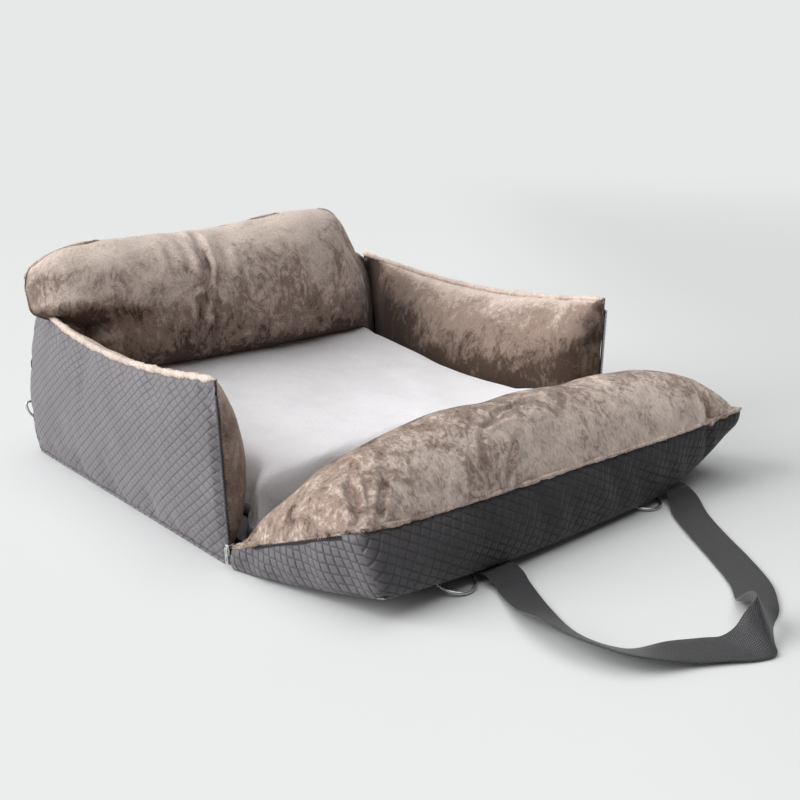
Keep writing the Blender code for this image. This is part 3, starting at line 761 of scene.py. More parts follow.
def crease(points, facing, width, depth):
    """A pressed line through points on the side that faces one way, with a low ridge on both sides."""
    facing = Vector(facing).normalized()
    points = [Vector(point) for point in points]
    points = [point - facing * point.dot(facing) for point in points]

    def change(place, outward):
        front = smooth_step(outward.dot(facing) * 3)
        if not front:
            return Vector()
        spot = place - facing * place.dot(facing)
        nearest, fade = 9.0, 0.0
        for index, (start, end) in enumerate(zip(points, points[1:])):
            along = end - start
            share = (spot - start).dot(along) / along.length_squared
            off = (spot - start - along * min(max(share, 0), 1)).length
            if off < nearest:
                run = (index + min(max(share, 0), 1)) / (len(points) - 1)
                nearest, fade = off, 0.25 + 0.75 * math.sin(math.pi * run)
        if nearest > 5 * width:
            return Vector()
        dent = bell(nearest, width) - 0.4 * bell(nearest - 2.2 * width, width)
        return outward * (-depth * front * fade * dent)

    return change


def ruffle(size, height, seed):
    """Gentle irregular waves over a cloth."""
    shift = Vector((seed, 2 * seed, 3 * seed))
    scale = Vector((1, 1, 1)) / size

    def change(place, outward):
        return outward * (height * noise.fractal(place * scale + shift, 1.0, 2.0, 2))

    return change


def cover(body, side, name, finish, thickness):
    """One sheet of a body as a cloth of its own, its inner face turned to the filling."""
    bm = bmesh.new()
    bm.from_mesh(body.data)
    sides = bm.faces.layers.int["side"]
    bmesh.ops.delete(bm, geom=[face for face in bm.faces if face[sides] != side], context="FACES")
    piece = place_mesh(bm, name, finish)
    thicken(piece, cover_share * thickness)
    return piece


def covers(body, names, finishes, apart=(0, 0, 0)):
    """Both sheets of a body as cloths of their own, the second one moved a little off the seam."""
    pieces = [
        cover(body, side, name, finish, quilt_thickness if finish == "Quilted cloth" else plush_thickness)
        for side, (name, finish) in enumerate(zip(names, finishes))
    ]
    bpy.data.objects.remove(body)
    shape_points(pieces[1], lambda place, outward: Vector(apart))
    return pieces


def plush_edge(name, points, radius, finish, seed):
    """A rolled fuzzy edge of plush along a path."""
    bm = bmesh.new()
    route = smooth_route(points, 3)
    last, around = len(route) - 1, 10
    rings = []
    for index, middle in enumerate(route):
        along = (route[min(index + 1, last)] - route[max(index - 1, 0)]).normalized()
        side = along.cross(Vector((0, 0, 1))).normalized()
        up = side.cross(along)
        taper = smooth_step(min(index, last - index) / 6) ** 0.5
        ring = []
        for step in range(around):
            angle = 2 * math.pi * step / around
            out = side * math.cos(angle) + up * math.sin(angle)
            lump = noise.noise(middle * 60 + Vector((seed, 0, 0))) * 0.35
            fuzz = noise.noise((middle + out * radius) * 420 + Vector((0, seed, 0))) * 0.45
            ring.append(bm.verts.new(middle + out * radius * taper * (1 + lump + fuzz)))
        rings.append(ring)
    for one, two in zip(rings, rings[1:]):
        for step in range(around):
            after = (step + 1) % around
            bm.faces.new((one[step], one[after], two[after], two[step]))
    bm.faces.new(rings[0][::-1])
    bm.faces.new(rings[-1])
    bmesh.ops.recalc_face_normals(bm, faces=bm.faces)
    return place_mesh(bm, name, finish)


def side_outer_x(y, z):
    """Half the bed's outer width at a depth and a height: the sides bow out and lean in behind."""
    rise = (z - wall_foot) / (wall_height - wall_foot)
    back = (y + half_depth) / bed_depth
    bow = wall_bow * (1 - (2 * rise - 1) ** 2) * smooth_step((y + half_depth) / wall_straight_front)
    flare = wall_front_flare * (1 - back) * rise
    return half_width + bow + flare - wall_back_lean * max(back, 0) ** 3 * max(rise, 0) ** 1.6


def corner_rise(distance, run):
    """How full a wall is at a distance from the back corner, where the walls pinch together."""
    return 1 - (1 - min(max(distance, 0) / run, 1)) ** 2


def wall_crown(t):
    return (1 - t * t) ** 0.72 * (1 - 0.06 * t)


def wall_covers(body, word, apart, rim, edge_radius, seed):
    """Parts a wall into its quilt, its plush and the rolled edge along its rim."""
    names = (f"{word}_wall_quilt", f"{word}_wall_plush")
    quilt, plush = covers(body, names, ("Quilted cloth", "Taupe plush"), apart)
    wear(plush_edge(f"{word}_wall_edge", rim, edge_radius, "Plush edge", seed), "bed", "taupe_plush")
    wear(quilt, "bed", "quilted_grey", f"{word}_wall_outer")
    return wear(plush, "bed", "taupe_plush", f"{word}_wall_lining", f"{word}_wall_filling")


def side_wall(side, word):
    """One side wall: quilted outside, plush inside, swollen between its seams."""

    def place(s, t, h, back_end=half_depth):
        y = mix(-half_depth, back_end, (s + 1) / 2)
        back = (y + half_depth) / bed_depth
        top = wall_height - wall_top_sag * (1 - (y / half_depth) ** 2)
        top += max(side, 0) * right_wall_back_rise * back**2
        z = mix(wall_foot, top, (t + 1) / 2)
        return Vector((side * (side_outer_x(y, z) - h), y, z))

    def outside(s, t):
        return place(s, t, -outside_bulge * (1 - s**6) * (1 - t**6))

    def inside(s, t):
        distance = (1 - s) * (bed_depth - wall_corner) / 2
        front = (1 - abs(min(s, 0)) ** 3) ** 0.5
        crown = side_wall_filling * front * corner_rise(distance, side_corner_run) * wall_crown(t)
        spot = place(s, t, crown + wall_seam_lift, half_depth - wall_corner)
        spot.z += wall_top_lean * max(t, 0) ** 2 * (1 - t**12)
        return spot

    body = stuffed(f"{word}_wall", (outside, inside), (56, 26), (bed_depth, wall_height))
    swell(body)
    refine(body, 1)
    shape_points(body, ruffle(*side_wall_waves[:2], side_wall_waves[2] + side))
    rim = [place(s, 1, rim_inset) + Vector((0, 0, 0.0012 * (1 - s**8))) for s in steps(-1, 1, 70)]
    plush = wall_covers(body, word, (-side * lining_gap, 0, 0), rim, side_edge_radius, side)


def back_wall():
    """The back wall, which stands between the side walls."""

    def place(s, t, h, end_gap=back_wall_end_gap):
        top = wall_height + back_wall_rise * (1 - abs(s) ** 8)
        z = mix(wall_foot, top, (t + 1) / 2)
        x = s * (side_outer_x(half_depth, min(z, wall_height)) - end_gap)
        return Vector((x, half_depth - h, z))

    def outside(s, t):
        return place(s, t, 0.0)

    def inside(s, t):
        distance = (1 - abs(s)) * half_width
        crown = back_wall_filling * corner_rise(distance, back_corner_run) * wall_crown(t)
        return place(s, t, crown + wall_seam_lift, wall_corner)

    body = stuffed("back_wall", (outside, inside), (60, 24), (2 * half_width, wall_height))
    swell(body, reach=back_wall_swell_reach)
    refine(body, 1)
    rim = [place(s, 1, rim_inset) for s in steps(-1, 1, 70)]
    plush = wall_covers(body, "back", (0, -lining_gap, 0), rim, back_edge_radius, 5)


def seat_mat():
    """The white plush mat, crowned on top and flat below."""

    def place(s, t, h):
        y = mix(mat_front, mat_back, (t + 1) / 2)
        ahead = smooth_step((mat_front + mat_corner_reach - y) / mat_corner_run)
        return Vector((s * (mat_half_width + mat_corner_spread * ahead), y, mat_foot + h))

    def top(s, t):
        full = mat_filling + mat_back_rise * smooth_step((t + 1) / 2) ** 2
        crown = full * ((1 - abs(s) ** mat_side_power) * (1 - abs(t) ** mat_end_power)) ** 0.5
        return place(s, t, crown + 0.002)

    def under(s, t):
        return place(s, t, 0.0)

    flat = (2 * mat_half_width, mat_back - mat_front)
    body = stuffed("mat", (under, top), (52, 48), flat, held=(0,))
    swell(body, 0.03)
    refine(body, 1)
    waves = ruffle(*mat_waves)
    shape_points(body, lambda spot, out: waves(spot, out) if spot.z > mat_foot + 0.02 else Vector())
    below, plush = covers(body, ("mat_base_cloth", "mat_plush"), ("Lining cloth", "White plush"))
    wear(below, "mat", "lining_cloth", "mat_underside")
    wear(plush, "mat", "white_plush", "mat_cover", "mat_filling")


def back_cushion():
    """The tall loose cushion that leans on the back wall and rests one end on the left wall."""

    def ends(t):
        left = cushion_left_low + cushion_left_step * min((t + 1) / 0.6, 1)
        left += cushion_left_overhang * smooth_step((t + 0.1) / 0.35)
        corner = max(abs(t) - 0.6, 0) / 0.4
        inset = cushion_corner_radius * (1 - (1 - corner * corner) ** 0.5)
        return inset - left, cushion_right_low - cushion_right_taper * ((t + 1) / 2) ** 2

    def place(s, t, h):
        left, right = ends(t)
        height = cushion_height + cushion_right_peak * smooth_step((s + 0.1) / 0.8)
        height -= cushion_corner_drop * abs(s) ** (cushion_left_power if s < 0 else cushion_right_power)
        rise = (t + 1) / 2
        x = mix(left, right, (s + 1) / 2)
        return Vector((x, cushion_foot_y + cushion_lean * rise + h, cushion_bottom + height * rise))

    def fullness(s, t):
        return ((1 - abs(s) ** 4) * (1 - t * t)) ** 0.5

    def seam_back(s, t):
        return cushion_seam_setback * max(abs(s), abs(t)) ** 5

    def front(s, t):
        return place(s, t, seam_back(s, t) - cushion_front_filling * fullness(s, t) - 0.003)

    def rear(s, t):
        return place(s, t, max(seam_back(s, t), cushion_rear_filling * fullness(s, t)))

    flat = (2 * half_width, cushion_height)
    body = stuffed("cushion", (front, rear), (64, 26), flat, loose=True)
    swell(body, 0.02)
    refine(body, 2)
    shape_points(body, ruffle(*cushion_waves))
    # Each pressed line has its width, its depth and its points
    for width, depth, *points in (
        (0.005, 0.009, (-0.094, 0.172, 0.3), (-0.1, 0.15, 0.265), (-0.112, 0.139, 0.236)),
        (0.005, 0.014, (-0.08, 0.18, 0.31), (-0.092, 0.152, 0.269), (-0.104, 0.137, 0.238),
         (-0.11, 0.13, 0.195)),
        (0.005, 0.012, (-0.121, 0.129, 0.215), (-0.124, 0.13, 0.18), (-0.126, 0.133, 0.14)),
        (0.005, 0.01, (-0.092, 0.127, 0.205), (-0.1, 0.129, 0.17), (-0.108, 0.131, 0.14)),
        (0.006, 0.004, (-0.14, 0.17, 0.3), (-0.146, 0.145, 0.26)),
        (0.006, 0.004, (-0.05, 0.17, 0.3), (-0.06, 0.14, 0.25)),
    ):
        shape_points(body, crease(points, (0, -1, 0.35), width, depth))
    names = ("cushion_front_plush", "cushion_rear_plush")
    face, rear_face = covers(body, names, ("Cushion plush", "Rear plush"))
    wear(face, "cushion", "taupe_plush", "back_cushion_front", "back_cushion_filling")
    wear(rear_face, "cushion", "taupe_plush", "back_cushion_rear")


def panel_x(s, u, low_inset=0):
    """Across the panel, u running from the fold at 0 to the front seams at 1."""
    left = -half_width + (panel_left_inset + low_inset) * u
    return mix(left, half_width + panel_right_spread * u, (s + 1) / 2)


def panel_upper_seam(s):
    run = panel_seam_run + panel_right_stretch * ((s + 1) / 2) ** 2
    return fold_y - run, panel_seam_height + panel_seam_end_rise * s**4


def panel_lower_seam(s):
    left = panel_left_lift * max(-s, 0) ** 2
    right = panel_right_lift * (max(s - 0.3, 0) / 0.7) ** 2
    return fold_y - panel_band_run, panel_low_seam_height + left + right


def panel_bottom(s, u):
    """A point of the panel's underside, near the floor and lifted towards its front corners."""
    y, z = panel_lower_seam(s)
    x = panel_x(s, u, panel_low_left_inset)
    return Vector((x, mix(fold_y, y, u), mix(floor_gap, z, u**1.5)))


def panel_seam(s, u):
    """A point of the plane that the plush rises from, between the fold and the upper front seam."""
    y, z = panel_upper_seam(s)
    return Vector((panel_x(s, u), mix(fold_y, y, u), mix(fold_height, z, u)))


def plush_seam(s, u):
    """The seam's plane again, its front corners rounded as the quilted strip's are."""
    return panel_seam(s * (1 - plush_corner_inset * smooth_step((u - 0.8) / 0.2) ** 2), u)


def panel_plush():
    """The panel's swollen plush, with its pressed folds."""

    def crown(s, t):
        power = panel_left_power if s < 0 else panel_right_power
        full = panel_filling * (1 - panel_right_flattening * smooth_step(s + 0.3))
        return full * (1 - abs(s) ** power) ** 0.5 * (1 - t * t) ** 0.75

    def top(s, t):
        return plush_seam(s, (t + 1) / 2) + Vector((0, 0, crown(s, t) + panel_seam_lift))

    def plane(s, t):
        return plush_seam(s, (t + 1) / 2)

    flat = (2 * half_width, panel_seam_run)
    body = stuffed("panel", (plane, top), (66, 34), flat, held=(0,))
    swell(body, 0.04)
    refine(body, 2)
    shape_points(body, ruffle(*panel_waves))
    # Each pressed line has its width, its depth and its points
    for width, depth, *points in (
        (0.003, 0.005, (0.0413, -0.3853, 0.152), (-0.0059, -0.3932, 0.1514), (-0.0397, -0.3949, 0.1502),
         (-0.075, -0.4084, 0.1454), (-0.0946, -0.3958, 0.149)),
        (0.003, 0.006, (-0.0798, -0.4083, 0.1453), (-0.0989, -0.4255, 0.132), (-0.1068, -0.4364, 0.1187),
         (-0.0948, -0.4479, 0.1012)),
        (0.003, 0.0065, (-0.0447, -0.4289, 0.1317), (-0.0687, -0.4444, 0.1115), (-0.0832, -0.4532, 0.0926)),
        (0.003, 0.004, (-0.0329, -0.4052, 0.1469), (-0.079, -0.4083, 0.1453)),
        (0.003, 0.0055, (-0.1209, -0.4285, 0.1273), (-0.1292, -0.4362, 0.1172), (-0.1396, -0.454, 0.0861)),
        (0.005, 0.008, (-0.262, -0.385, 0.118), (-0.27, -0.405, 0.11), (-0.286, -0.436, 0.09)),
        (0.004, 0.005, (-0.245, -0.39, 0.125), (-0.262, -0.42, 0.11), (-0.282, -0.446, 0.09)),
        (0.004, 0.004, (-0.225, -0.405, 0.125), (-0.25, -0.43, 0.11), (-0.276, -0.449, 0.088)),
        (0.005, 0.009, (0.303, -0.44, 0.125), (0.296, -0.468, 0.105), (0.288, -0.481, 0.086)),
    ):
        shape_points(body, crease(points, (0, -0.55, 0.83), width, depth))
    plush = cover(body, 1, "panel_plush", "Brushed plush", plush_thickness)
    bpy.data.objects.remove(body)
    rim = [panel_seam(s, 1) + Vector((0, 0.001, 0.0018)) for s in steps(-0.97, 0.97, 110)]
    edge = plush_edge("panel_edge", rim, panel_edge_radius, "Brushed plush", 8)
    wear(edge, "front_panel", "taupe_plush")
    for side, word in ((-1, "left"), (1, "right")):
        rim = [plush_seam(side, u) + Vector((-side * 0.0015, 0, 0.0015)) for u in steps(0, 1, 40)]
        edge = plush_edge(f"{word}_panel_edge", rim, panel_end_edge_radius, "Brushed plush", 11 + side)
        wear(edge, "front_panel", "taupe_plush")
    wear(plush, "front_panel", "taupe_plush", "front_panel_lining", "front_panel_filling")
    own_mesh(plush)


def panel_routes():
    """The lower and upper edges of the quilted strip round the panel, its corners rounded."""
    left, front, right = strip_cells
    legs = [(-1, index / left) for index in range(left)]
    legs += [(s, 1) for s in steps(-1, 1, front)]
    legs += [(1, 1 - index / right) for index in range(1, right + 1)]
    routes = []
    for edge in (panel_bottom, panel_seam):
        points = [edge(s, u) for s, u in legs]
        for _ in range(3):
            inner = [(a + 2 * b + c) / 4 for a, b, c in zip(points, points[1:], points[2:])]
            points = [points[0], *inner, points[-1]]
        routes.append(points)
    return routes


def panel_strip():
    """The quilted strip round the panel: left end, front band and right end in one length."""
    low, high = panel_routes()
    last, length = len(low) - 1, run_lengths(low)
    corners = (strip_cells[0], strip_cells[0] + strip_cells[1])
    bm = bmesh.new()
    cloth = bm.loops.layers.uv.verify()
    grid = bmesh.ops.create_grid(bm, x_segments=last, y_segments=10, size=1)["verts"]
    spots = {vert: (round((vert.co.x + 1) / 2 * last), (vert.co.y + 1) / 2) for vert in grid}
    for face in bm.faces:
        middle = sum(spots[vert][0] for vert in face.verts) / 4
        turn = math.radians(strip_turns[sum(middle >= corner for corner in corners)])
        for loop in face.loops:
            index, t = spots[loop.vert]
            along, up = length[index], t * (high[index] - low[index]).length
            loop[cloth].uv = (
                along * math.cos(turn) - up * math.sin(turn),
                along * math.sin(turn) + up * math.cos(turn),
            )
    for vert, (index, t) in spots.items():
        ahead = low[min(index + 1, last)] - low[max(index - 1, 0)]
        outward = ahead.cross(Vector((0, 0, 1))).normalized()
        height = (high[index] - low[index]).length
        arch = math.sin(math.pi * t)
        puff = strip_fullness * height * arch**0.7
        waves = strip_waves * noise.noise(Vector((length[index] * 30, t * 0.9, 4.0))) * arch**0.6
        if corners[0] < index < corners[1]:
            waves -= strip_dent * bell(low[index].x - strip_dent_x, strip_dent_width) * arch**0.5
        vert.co = low[index].lerp(high[index], t) + outward * (puff + waves)
    strip = place_mesh(bm, "panel_strip_quilt", "Quilted strip")
    thicken(strip, cover_share * quilt_thickness)
    wear(strip, "front_panel", "quilted_grey", "front_panel_gusset_left", "front_panel_gusset_right")


def panel_underside():
    """The quilted underside of the panel."""
    bm = bmesh.new()
    add_grid(bm, lambda s, t: panel_bottom(s, (t + 1) / 2), (60, 24), (2 * half_width, panel_band_run))
    below = place_mesh(bm, "panel_underside_quilt", "Quilted cloth")
    thicken(below, cover_share * quilt_thickness)
    wear(below, "front_panel", "quilted_grey", "front_panel_outer")


def soft_slab(name, finish, box, radius):
    """A flat cloth-covered layer with soft edges."""
    low, high = Vector(box[0]), Vector(box[1])
    bm = bmesh.new()
    bmesh.ops.create_cube(bm, size=1)
    bmesh.ops.transform(bm, matrix=Matrix.Diagonal((*(high - low), 1)), verts=bm.verts)
    bmesh.ops.translate(bm, vec=(low + high) / 2, verts=bm.verts)
    upright = [e for e in bm.edges if abs(e.verts[0].co.z - e.verts[1].co.z) > (high.z - low.z) / 2]
    bmesh.ops.bevel(bm, geom=upright, offset=radius, segments=6, affect="EDGES", profile=0.5)
    flat = [e for e in bm.edges if e.verts[0].co.z == e.verts[1].co.z and e.is_manifold]
    bmesh.ops.bevel(bm, geom=flat, offset=0.42 * (high.z - low.z), segments=3, affect="EDGES", profile=0.5)
    cloth = bm.loops.layers.uv.verify()
    for face in bm.faces:
        for loop in face.loops:
            loop[cloth].uv = (loop.vert.co.x, loop.vert.co.y + loop.vert.co.z)
    return place_mesh(bm, name, finish)


def strap(name, centres, across, width, thickness, finish="Dark webbing"):
    """A woven strap along centres, lying across the given directions, one for each centre."""
    bm = bmesh.new()
    cloth = bm.loops.layers.uv.verify()
    last, length = len(centres) - 1, run_lengths(centres)
    grid = bmesh.ops.create_grid(bm, x_segments=last, y_segments=4, size=1)["verts"]
    spots = {vert: (round((vert.co.x + 1) / 2 * last), vert.co.y) for vert in grid}
    for face in bm.faces:
        for loop in face.loops:
            index, t = spots[loop.vert]
            loop[cloth].uv = (length[index], t * width / 2)
    for vert, (index, t) in spots.items():
        vert.co = centres[index] + across[index].normalized() * (t * width / 2)
    obj = place_mesh(bm, name, finish)
    thicken(obj, thickness, 0)
    soften(obj, thickness * 0.3, 2)
    return obj


def smooth_route(points, each):
    """Points along a smooth curve through the given ones."""
    route = []
    last = len(points) - 1
    for index in range(last):
        a, b = points[max(index - 1, 0)], points[index]
        c, d = points[index + 1], points[min(index + 2, last)]
        for step in range(each):
            t = step / each
            pull = 2 * b + (c - a) * t + (2 * a - 5 * b + 4 * c - d) * t * t
            route.append((pull + (3 * b - a - 3 * c + d) * t**3) / 2)
    return [*route, points[last]]


def stitches(name, path, body):
    """A row of short threads along a path of points."""
    bm = bmesh.new()
    for start, end in zip(path, path[1:]):
        along = end - start
        count = max(1, round(along.length / thread_pitch))
        turn = along.to_track_quat("X", "Z").to_matrix().to_4x4()
        long = thread_share * along.length / count
        size = Matrix.Diagonal((long, 2 * thread_radius, 2 * thread_radius, 1))
        for index in range(count):
            spot = Matrix.Translation(start + along * ((index + 0.5) / count)) @ turn @ size
            bmesh.ops.create_icosphere(bm, subdivisions=1, radius=0.5, matrix=spot)
    thread = place_mesh(bm, name, "Zip plastic")
    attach(thread, body)


def wall_edge(side, z, ahead):
    """A point on the straight front edge of a side wall, some way ahead of it."""
    return Vector((side * (side_outer_x(-half_depth, z) - quilt_thickness / 2), -half_depth - ahead, z))


def zip_teeth(name, points, outward, body, node):
    """A row of small rounded teeth, set to each side of a zip's middle in turn."""
    bm = bmesh.new()
    route = []
    for a, b in zip(points, points[1:]):
        count = max(1, round((b - a).length / zip_pitch))
        route += [(a.lerp(b, index / count), b - a) for index in range(count)]
    for index, (middle, along) in enumerate(route):
        turn = along.to_track_quat("Z", "X").to_matrix().to_4x4()
        shift = outward * (teeth_stagger * (1 if index % 2 else -1))
        size = Matrix.Diagonal((2.2 * zip_bead_radius, 2 * zip_bead_radius, 0.72 * zip_pitch, 1))
        spot = Matrix.Translation(middle + shift) @ turn @ size
        bmesh.ops.create_icosphere(bm, subdivisions=2, radius=0.5, matrix=spot)
    wear(place_mesh(bm, name, "Zip plastic"), body, "zip_coil", node)


def zip_tape(name, centres, along, cut, body, node):
    """The narrow tape of a zip half, as wide and as thick as cut says."""
    wear(strap(name, centres, [Vector(along)] * len(centres), *cut), body, "dark_webbing", node)


def wall_zip(side, word):
    """The zip half on one side wall."""
    heights = steps(zip_foot, wall_height - zip_top_margin, 24)
    tape = [wall_edge(side, z, wall_tape_lead) for z in heights]
    teeth = [wall_edge(side, z, wall_teeth_lead) for z in heights]
    zip_tape(f"{word}_wall_tape", tape, (0, 1, 0), wall_tape, "bed", f"{word}_wall_zip_tape")
    zip_teeth(f"{word}_wall_teeth", teeth, Vector((1, 0, 0)), "bed", f"{word}_wall_zip_chain")


def panel_zip(side, word):
    """The zip half along the upper edge of one panel end."""
    spots = [panel_seam(side, u) for u in steps(0.2, 0.9, 24)]
    tape = [p + Vector((side * 0.0011, 0, -0.0042)) for p in spots]
    teeth = [p + Vector((side * 0.001, 0, -0.0028)) for p in spots]
    zip_tape(f"{word}_panel_tape", tape, (0, 0, 1), panel_tape, "front_panel", f"{word}_panel_zip_tape")
    zip_teeth(f"{word}_panel_teeth", teeth, Vector((0, 0, 1)), "front_panel", f"{word}_panel_zip_chain")


def nickel_curve(name, dimensions, outlines, bevel, resolution):
    """A nickel object along closed outlines, rounded by a bevel."""
    curve = bpy.data.curves.new(name, "CURVE")
    curve.dimensions = dimensions
    curve.bevel_depth, curve.bevel_resolution = bevel, resolution
    for outline in outlines:
        spline = curve.splines.new("POLY")
        spline.points.add(len(outline) - 1)
        for spot, place in zip(spline.points, outline):
            spot.co = (*Vector(place).to_3d(), 1)
        spline.use_cyclic_u = True
    curve.materials.append(cloths()["Nickel"])
    return add_object(name, curve)


def plate(name, outlines, thickness, turn):
    """A thin metal plate of an outline, with any further outlines cut out of it, and soft edges."""
    obj = nickel_curve(name, "2D", outlines, soft_metal_edge, 2)
    obj.data.fill_mode = "BOTH"
    obj.data.extrude = thickness / 2 - soft_metal_edge
    obj.matrix_world = turn
    return obj


def round_slot(half, low, high, radius):
    """The outline of a plate or hole with round corners."""
    points = []
    across, facets = half - radius, 6
    top, bottom = high - radius, low + radius
    for quarter, (x, y) in enumerate(((across, top), (-across, top), (-across, bottom), (across, bottom))):
        for step in range(facets + 1):
            angle = math.radians(90 * quarter + 90 * step / facets)
            points.append((x + radius * math.cos(angle), y + radius * math.sin(angle)))
    return points


def slider(side, word):
    """A zip slider with its bridge, and the pull that hangs from it."""
    ahead = 2 * seam_gap + 0.0025 + zip_bead_radius
    middle = wall_edge(side, slider_rest_height + slider_height / 2, ahead)
    lean = wall_edge(side, wall_height, ahead) - wall_edge(side, zip_foot, ahead)
    turn = Matrix.Translation(middle) @ Matrix.Rotation(math.atan2(lean.x, lean.z), 4, "Y")
    bm = bmesh.new()
    slot = zip_bead_radius + seam_gap
    cheek = (slider_width / 2 + slot) / 2
    for place, wide, deep in (
        ((-cheek, -0.0002, 0), slider_width / 2 - slot, slider_depth),
        ((cheek, -0.0002, 0), slider_width / 2 - slot, slider_depth),
        ((0, -0.003, 0), slider_width, slider_bridge),
    ):
        size = Matrix.Diagonal((wide, deep, slider_height, 1))
        bmesh.ops.create_cube(bm, size=1, matrix=Matrix.Translation(place) @ size)
    for vert in bm.verts:
        rise = vert.co.z / slider_height + 0.5
        vert.co.x *= mix(0.72, 1.0, smooth_step(rise * 1.6))
    body = place_mesh(bm, f"{word}_slider", "Nickel")
    body.matrix_world = turn
    soften(body, 0.0006, 3)
    wear(body, f"{word}_slider", "nickel_steel", f"{word}_zip_slider")
    out = side * (slider_width / 2 + seam_gap + 0.0009)
    pin = Matrix.Translation((out, -0.0002, slider_height / 2 - 0.004))
    flat = Matrix(((0, 0, 1), (1, 0, 0), (0, 1, 0))).to_4x4()
    outer = round_slot(0.0026, -pull_length + 0.002, 0.0006, 0.0014)
    hole = round_slot(0.0012, -0.0065, -0.001, 0.0011)[::-1]
    slit = round_slot(0.001, -pull_length + 0.0045, -0.0105, 0.0009)[::-1]
    pull = plate(f"{word}_pull", (outer, hole, slit), pull_thickness, turn @ pin @ flat)
    wear(pull, f"{word}_pull", "nickel_steel", f"{word}_zip_pull")


def ring_outline():
    """A D in its own plane: a straight bar along x at y zero, and an arc that reaches to -y."""
    half = ring_width / 2 - ring_wire_radius
    reach = ring_reach - ring_wire_radius
    points = [(mix(-half, half, (index + 0.5) / 12), 0.0) for index in range(12)]
    for step in range(1, 40):
        angle = math.pi * step / 40
        points.append((half * math.cos(angle), -reach * math.sin(angle) ** 0.8))
    return points


def ring_and_tab(word, middle, downward, tail, body):
    """A steel ring whose bar lies in a folded tab of webbing."""
    points = [middle + Vector((x, 0, 0)) - downward * y for x, y in ring_outline()]
    ring = nickel_curve(f"{word}_steel_ring", "3D", (points,), ring_wire_radius, 5)
    wear(ring, f"{word}_ring_body", "nickel_steel", f"{word}_ring")
    radius = ring_wire_radius + seam_gap + tab_layer / 2
    normal = Vector((1, 0, 0)).cross(-tail)
    profile = [(radius, back) for back in steps(tab_tail, 0, 5)[:-1]]
    profile += [(radius * math.cos(angle), -radius * math.sin(angle)) for angle in steps(0, math.pi, 12)]
    profile += [(-radius, back) for back in steps(0, tab_tail, 5)[1:]]
    centres = [middle + normal * off + tail * back for off, back in profile]
    tab = strap(f"{word}_tab", centres, [Vector((1, 0, 0))] * len(centres), tab_width, tab_layer)
    wear(tab, body, "dark_webbing", f"{word}_ring_tab")


def front_ring_places():
    """Each front ring's bar, the way the ring lies and the way its tab runs."""
    for word, middle, fall, drop in front_rings:
        downward = Vector((0, -math.sqrt(ring_reach**2 - fall**2), -fall)).normalized()
        yield word, Vector(middle), downward, Vector((0, tab_tail, -drop)).normalized()


def handle(name, points, lay, body, node):
    """A long webbing handle through its route's points."""
    route, across = smooth_route(points, 8), smooth_route(lay, 8)
    wear(strap(name, route, across, webbing_width, webbing_thickness), body, "dark_webbing", node)


def front_handle_route():
    axis_y, high = front_handle_axis
    points, lay = [], []
    for across, out, lift, way in front_handle_way:
        side = Vector(way).normalized()
        low = 3 * floor_gap + (webbing_width * abs(side.z) + webbing_thickness) / 2
        x = front_handle_middle + across * handle_half_span
        points.append(Vector((x, axis_y - out * handle_half_span, mix(low, high, lift))))
        lay.append(side)
    return points, lay


def rear_handle_route():
    y = half_depth + seam_gap + webbing_thickness / 2
    points, lay = [], []
    for across, out, down, way in rear_handle_way:
        z = rear_handle_height - down * rear_handle_drop
        points.append(Vector((-across * handle_half_span, y + out * rear_handle_stand_off, z)))
        lay.append(Vector((way[0], way[1], -way[2])))
    points += [Vector((-p.x, p.y, p.z)) for p in reversed(points[:-1])]
    lay += [Vector((-v.x, v.y, v.z)) for v in reversed(lay[:-1])]
    return points, lay


def patch(name, node, body, lift):
    """A sewn-on end of webbing, with a stitched box and cross on its outer face."""
    low, high = (Vector(corner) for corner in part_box(node))
    size = high - low
    upright = size.z > size.y
    middle = (low + high) / 2
    along = Vector((0, 0, size.z / 2)) if upright else Vector((0, size.y / 2, 0))
    route = [middle + along * share for share in steps(-1, 1, 8)]
    piece = strap(name, route, [Vector((1, 0, 0))] * len(route), webbing_width, webbing_thickness)
    wear(piece, body, "dark_webbing", node)
    side, up = Vector((webbing_width * 0.4, 0, 0)), along * 0.8
    face = middle + lift * (webbing_thickness / 2)
    corners = (face - side - up, face + side - up, face + side + up, face - side + up)
    path = [corners[index] for index in (0, 1, 2, 3, 0, 2, 3, 1)]
    stitches(f"{name}_thread", path, body)


def floor_material(colour):
    """A pale floor with a painted shadow a little to the right, that runs into the background without a
    horizon.
    """
    shader = Shader("Studio floor")
    place = shader.coordinates()
    rightward = shader.dot(place, (0.745, -0.667, 0))
    away = shader.node("ShaderNodeVectorMath", {0: place}, operation="LENGTH").outputs["Value"]
    # Painted shadow: the floor is darkened a little to the right of the seat, fading out far away.
    painted_shadow = shader.times(shader.range(rightward, 0.25, 1.0), shader.range(away, 1.6, 6.0, 0.14, 0.0))
    colour = shader.tint(colour, shader.math("SUBTRACT", 1.0, painted_shadow))
    shader.finish(colour, 0.7, gloss=0.2)
    glow = shader.node("ShaderNodeEmission", {"Color": colour, "Strength": 1.0})
    rays = shader.node("ShaderNodeLightPath")
    seen = shader.times(shader.range(away, 1.2, 3.4), rays.outputs["Is Camera Ray"])
    both = shader.node("ShaderNodeMixShader", {0: seen, 1: shader.surface.outputs[0], 2: glow.outputs[0]})
    shader.set(shader.tree.nodes["Material Output"].inputs["Surface"], both.outputs[0])
    return shader.owner


def soft_light(name, place, spread, strength):
    """A wide, far light that shines on the seat from a place."""
    light = bpy.data.lights.new(name, "SUN")
    light.angle = math.radians(spread)
    light.energy = strength
    lamp = add_object(name, light)
    lamp.location = place
    lamp.rotation_euler = (-Vector(place)).to_track_quat("-Z", "Y").to_euler()


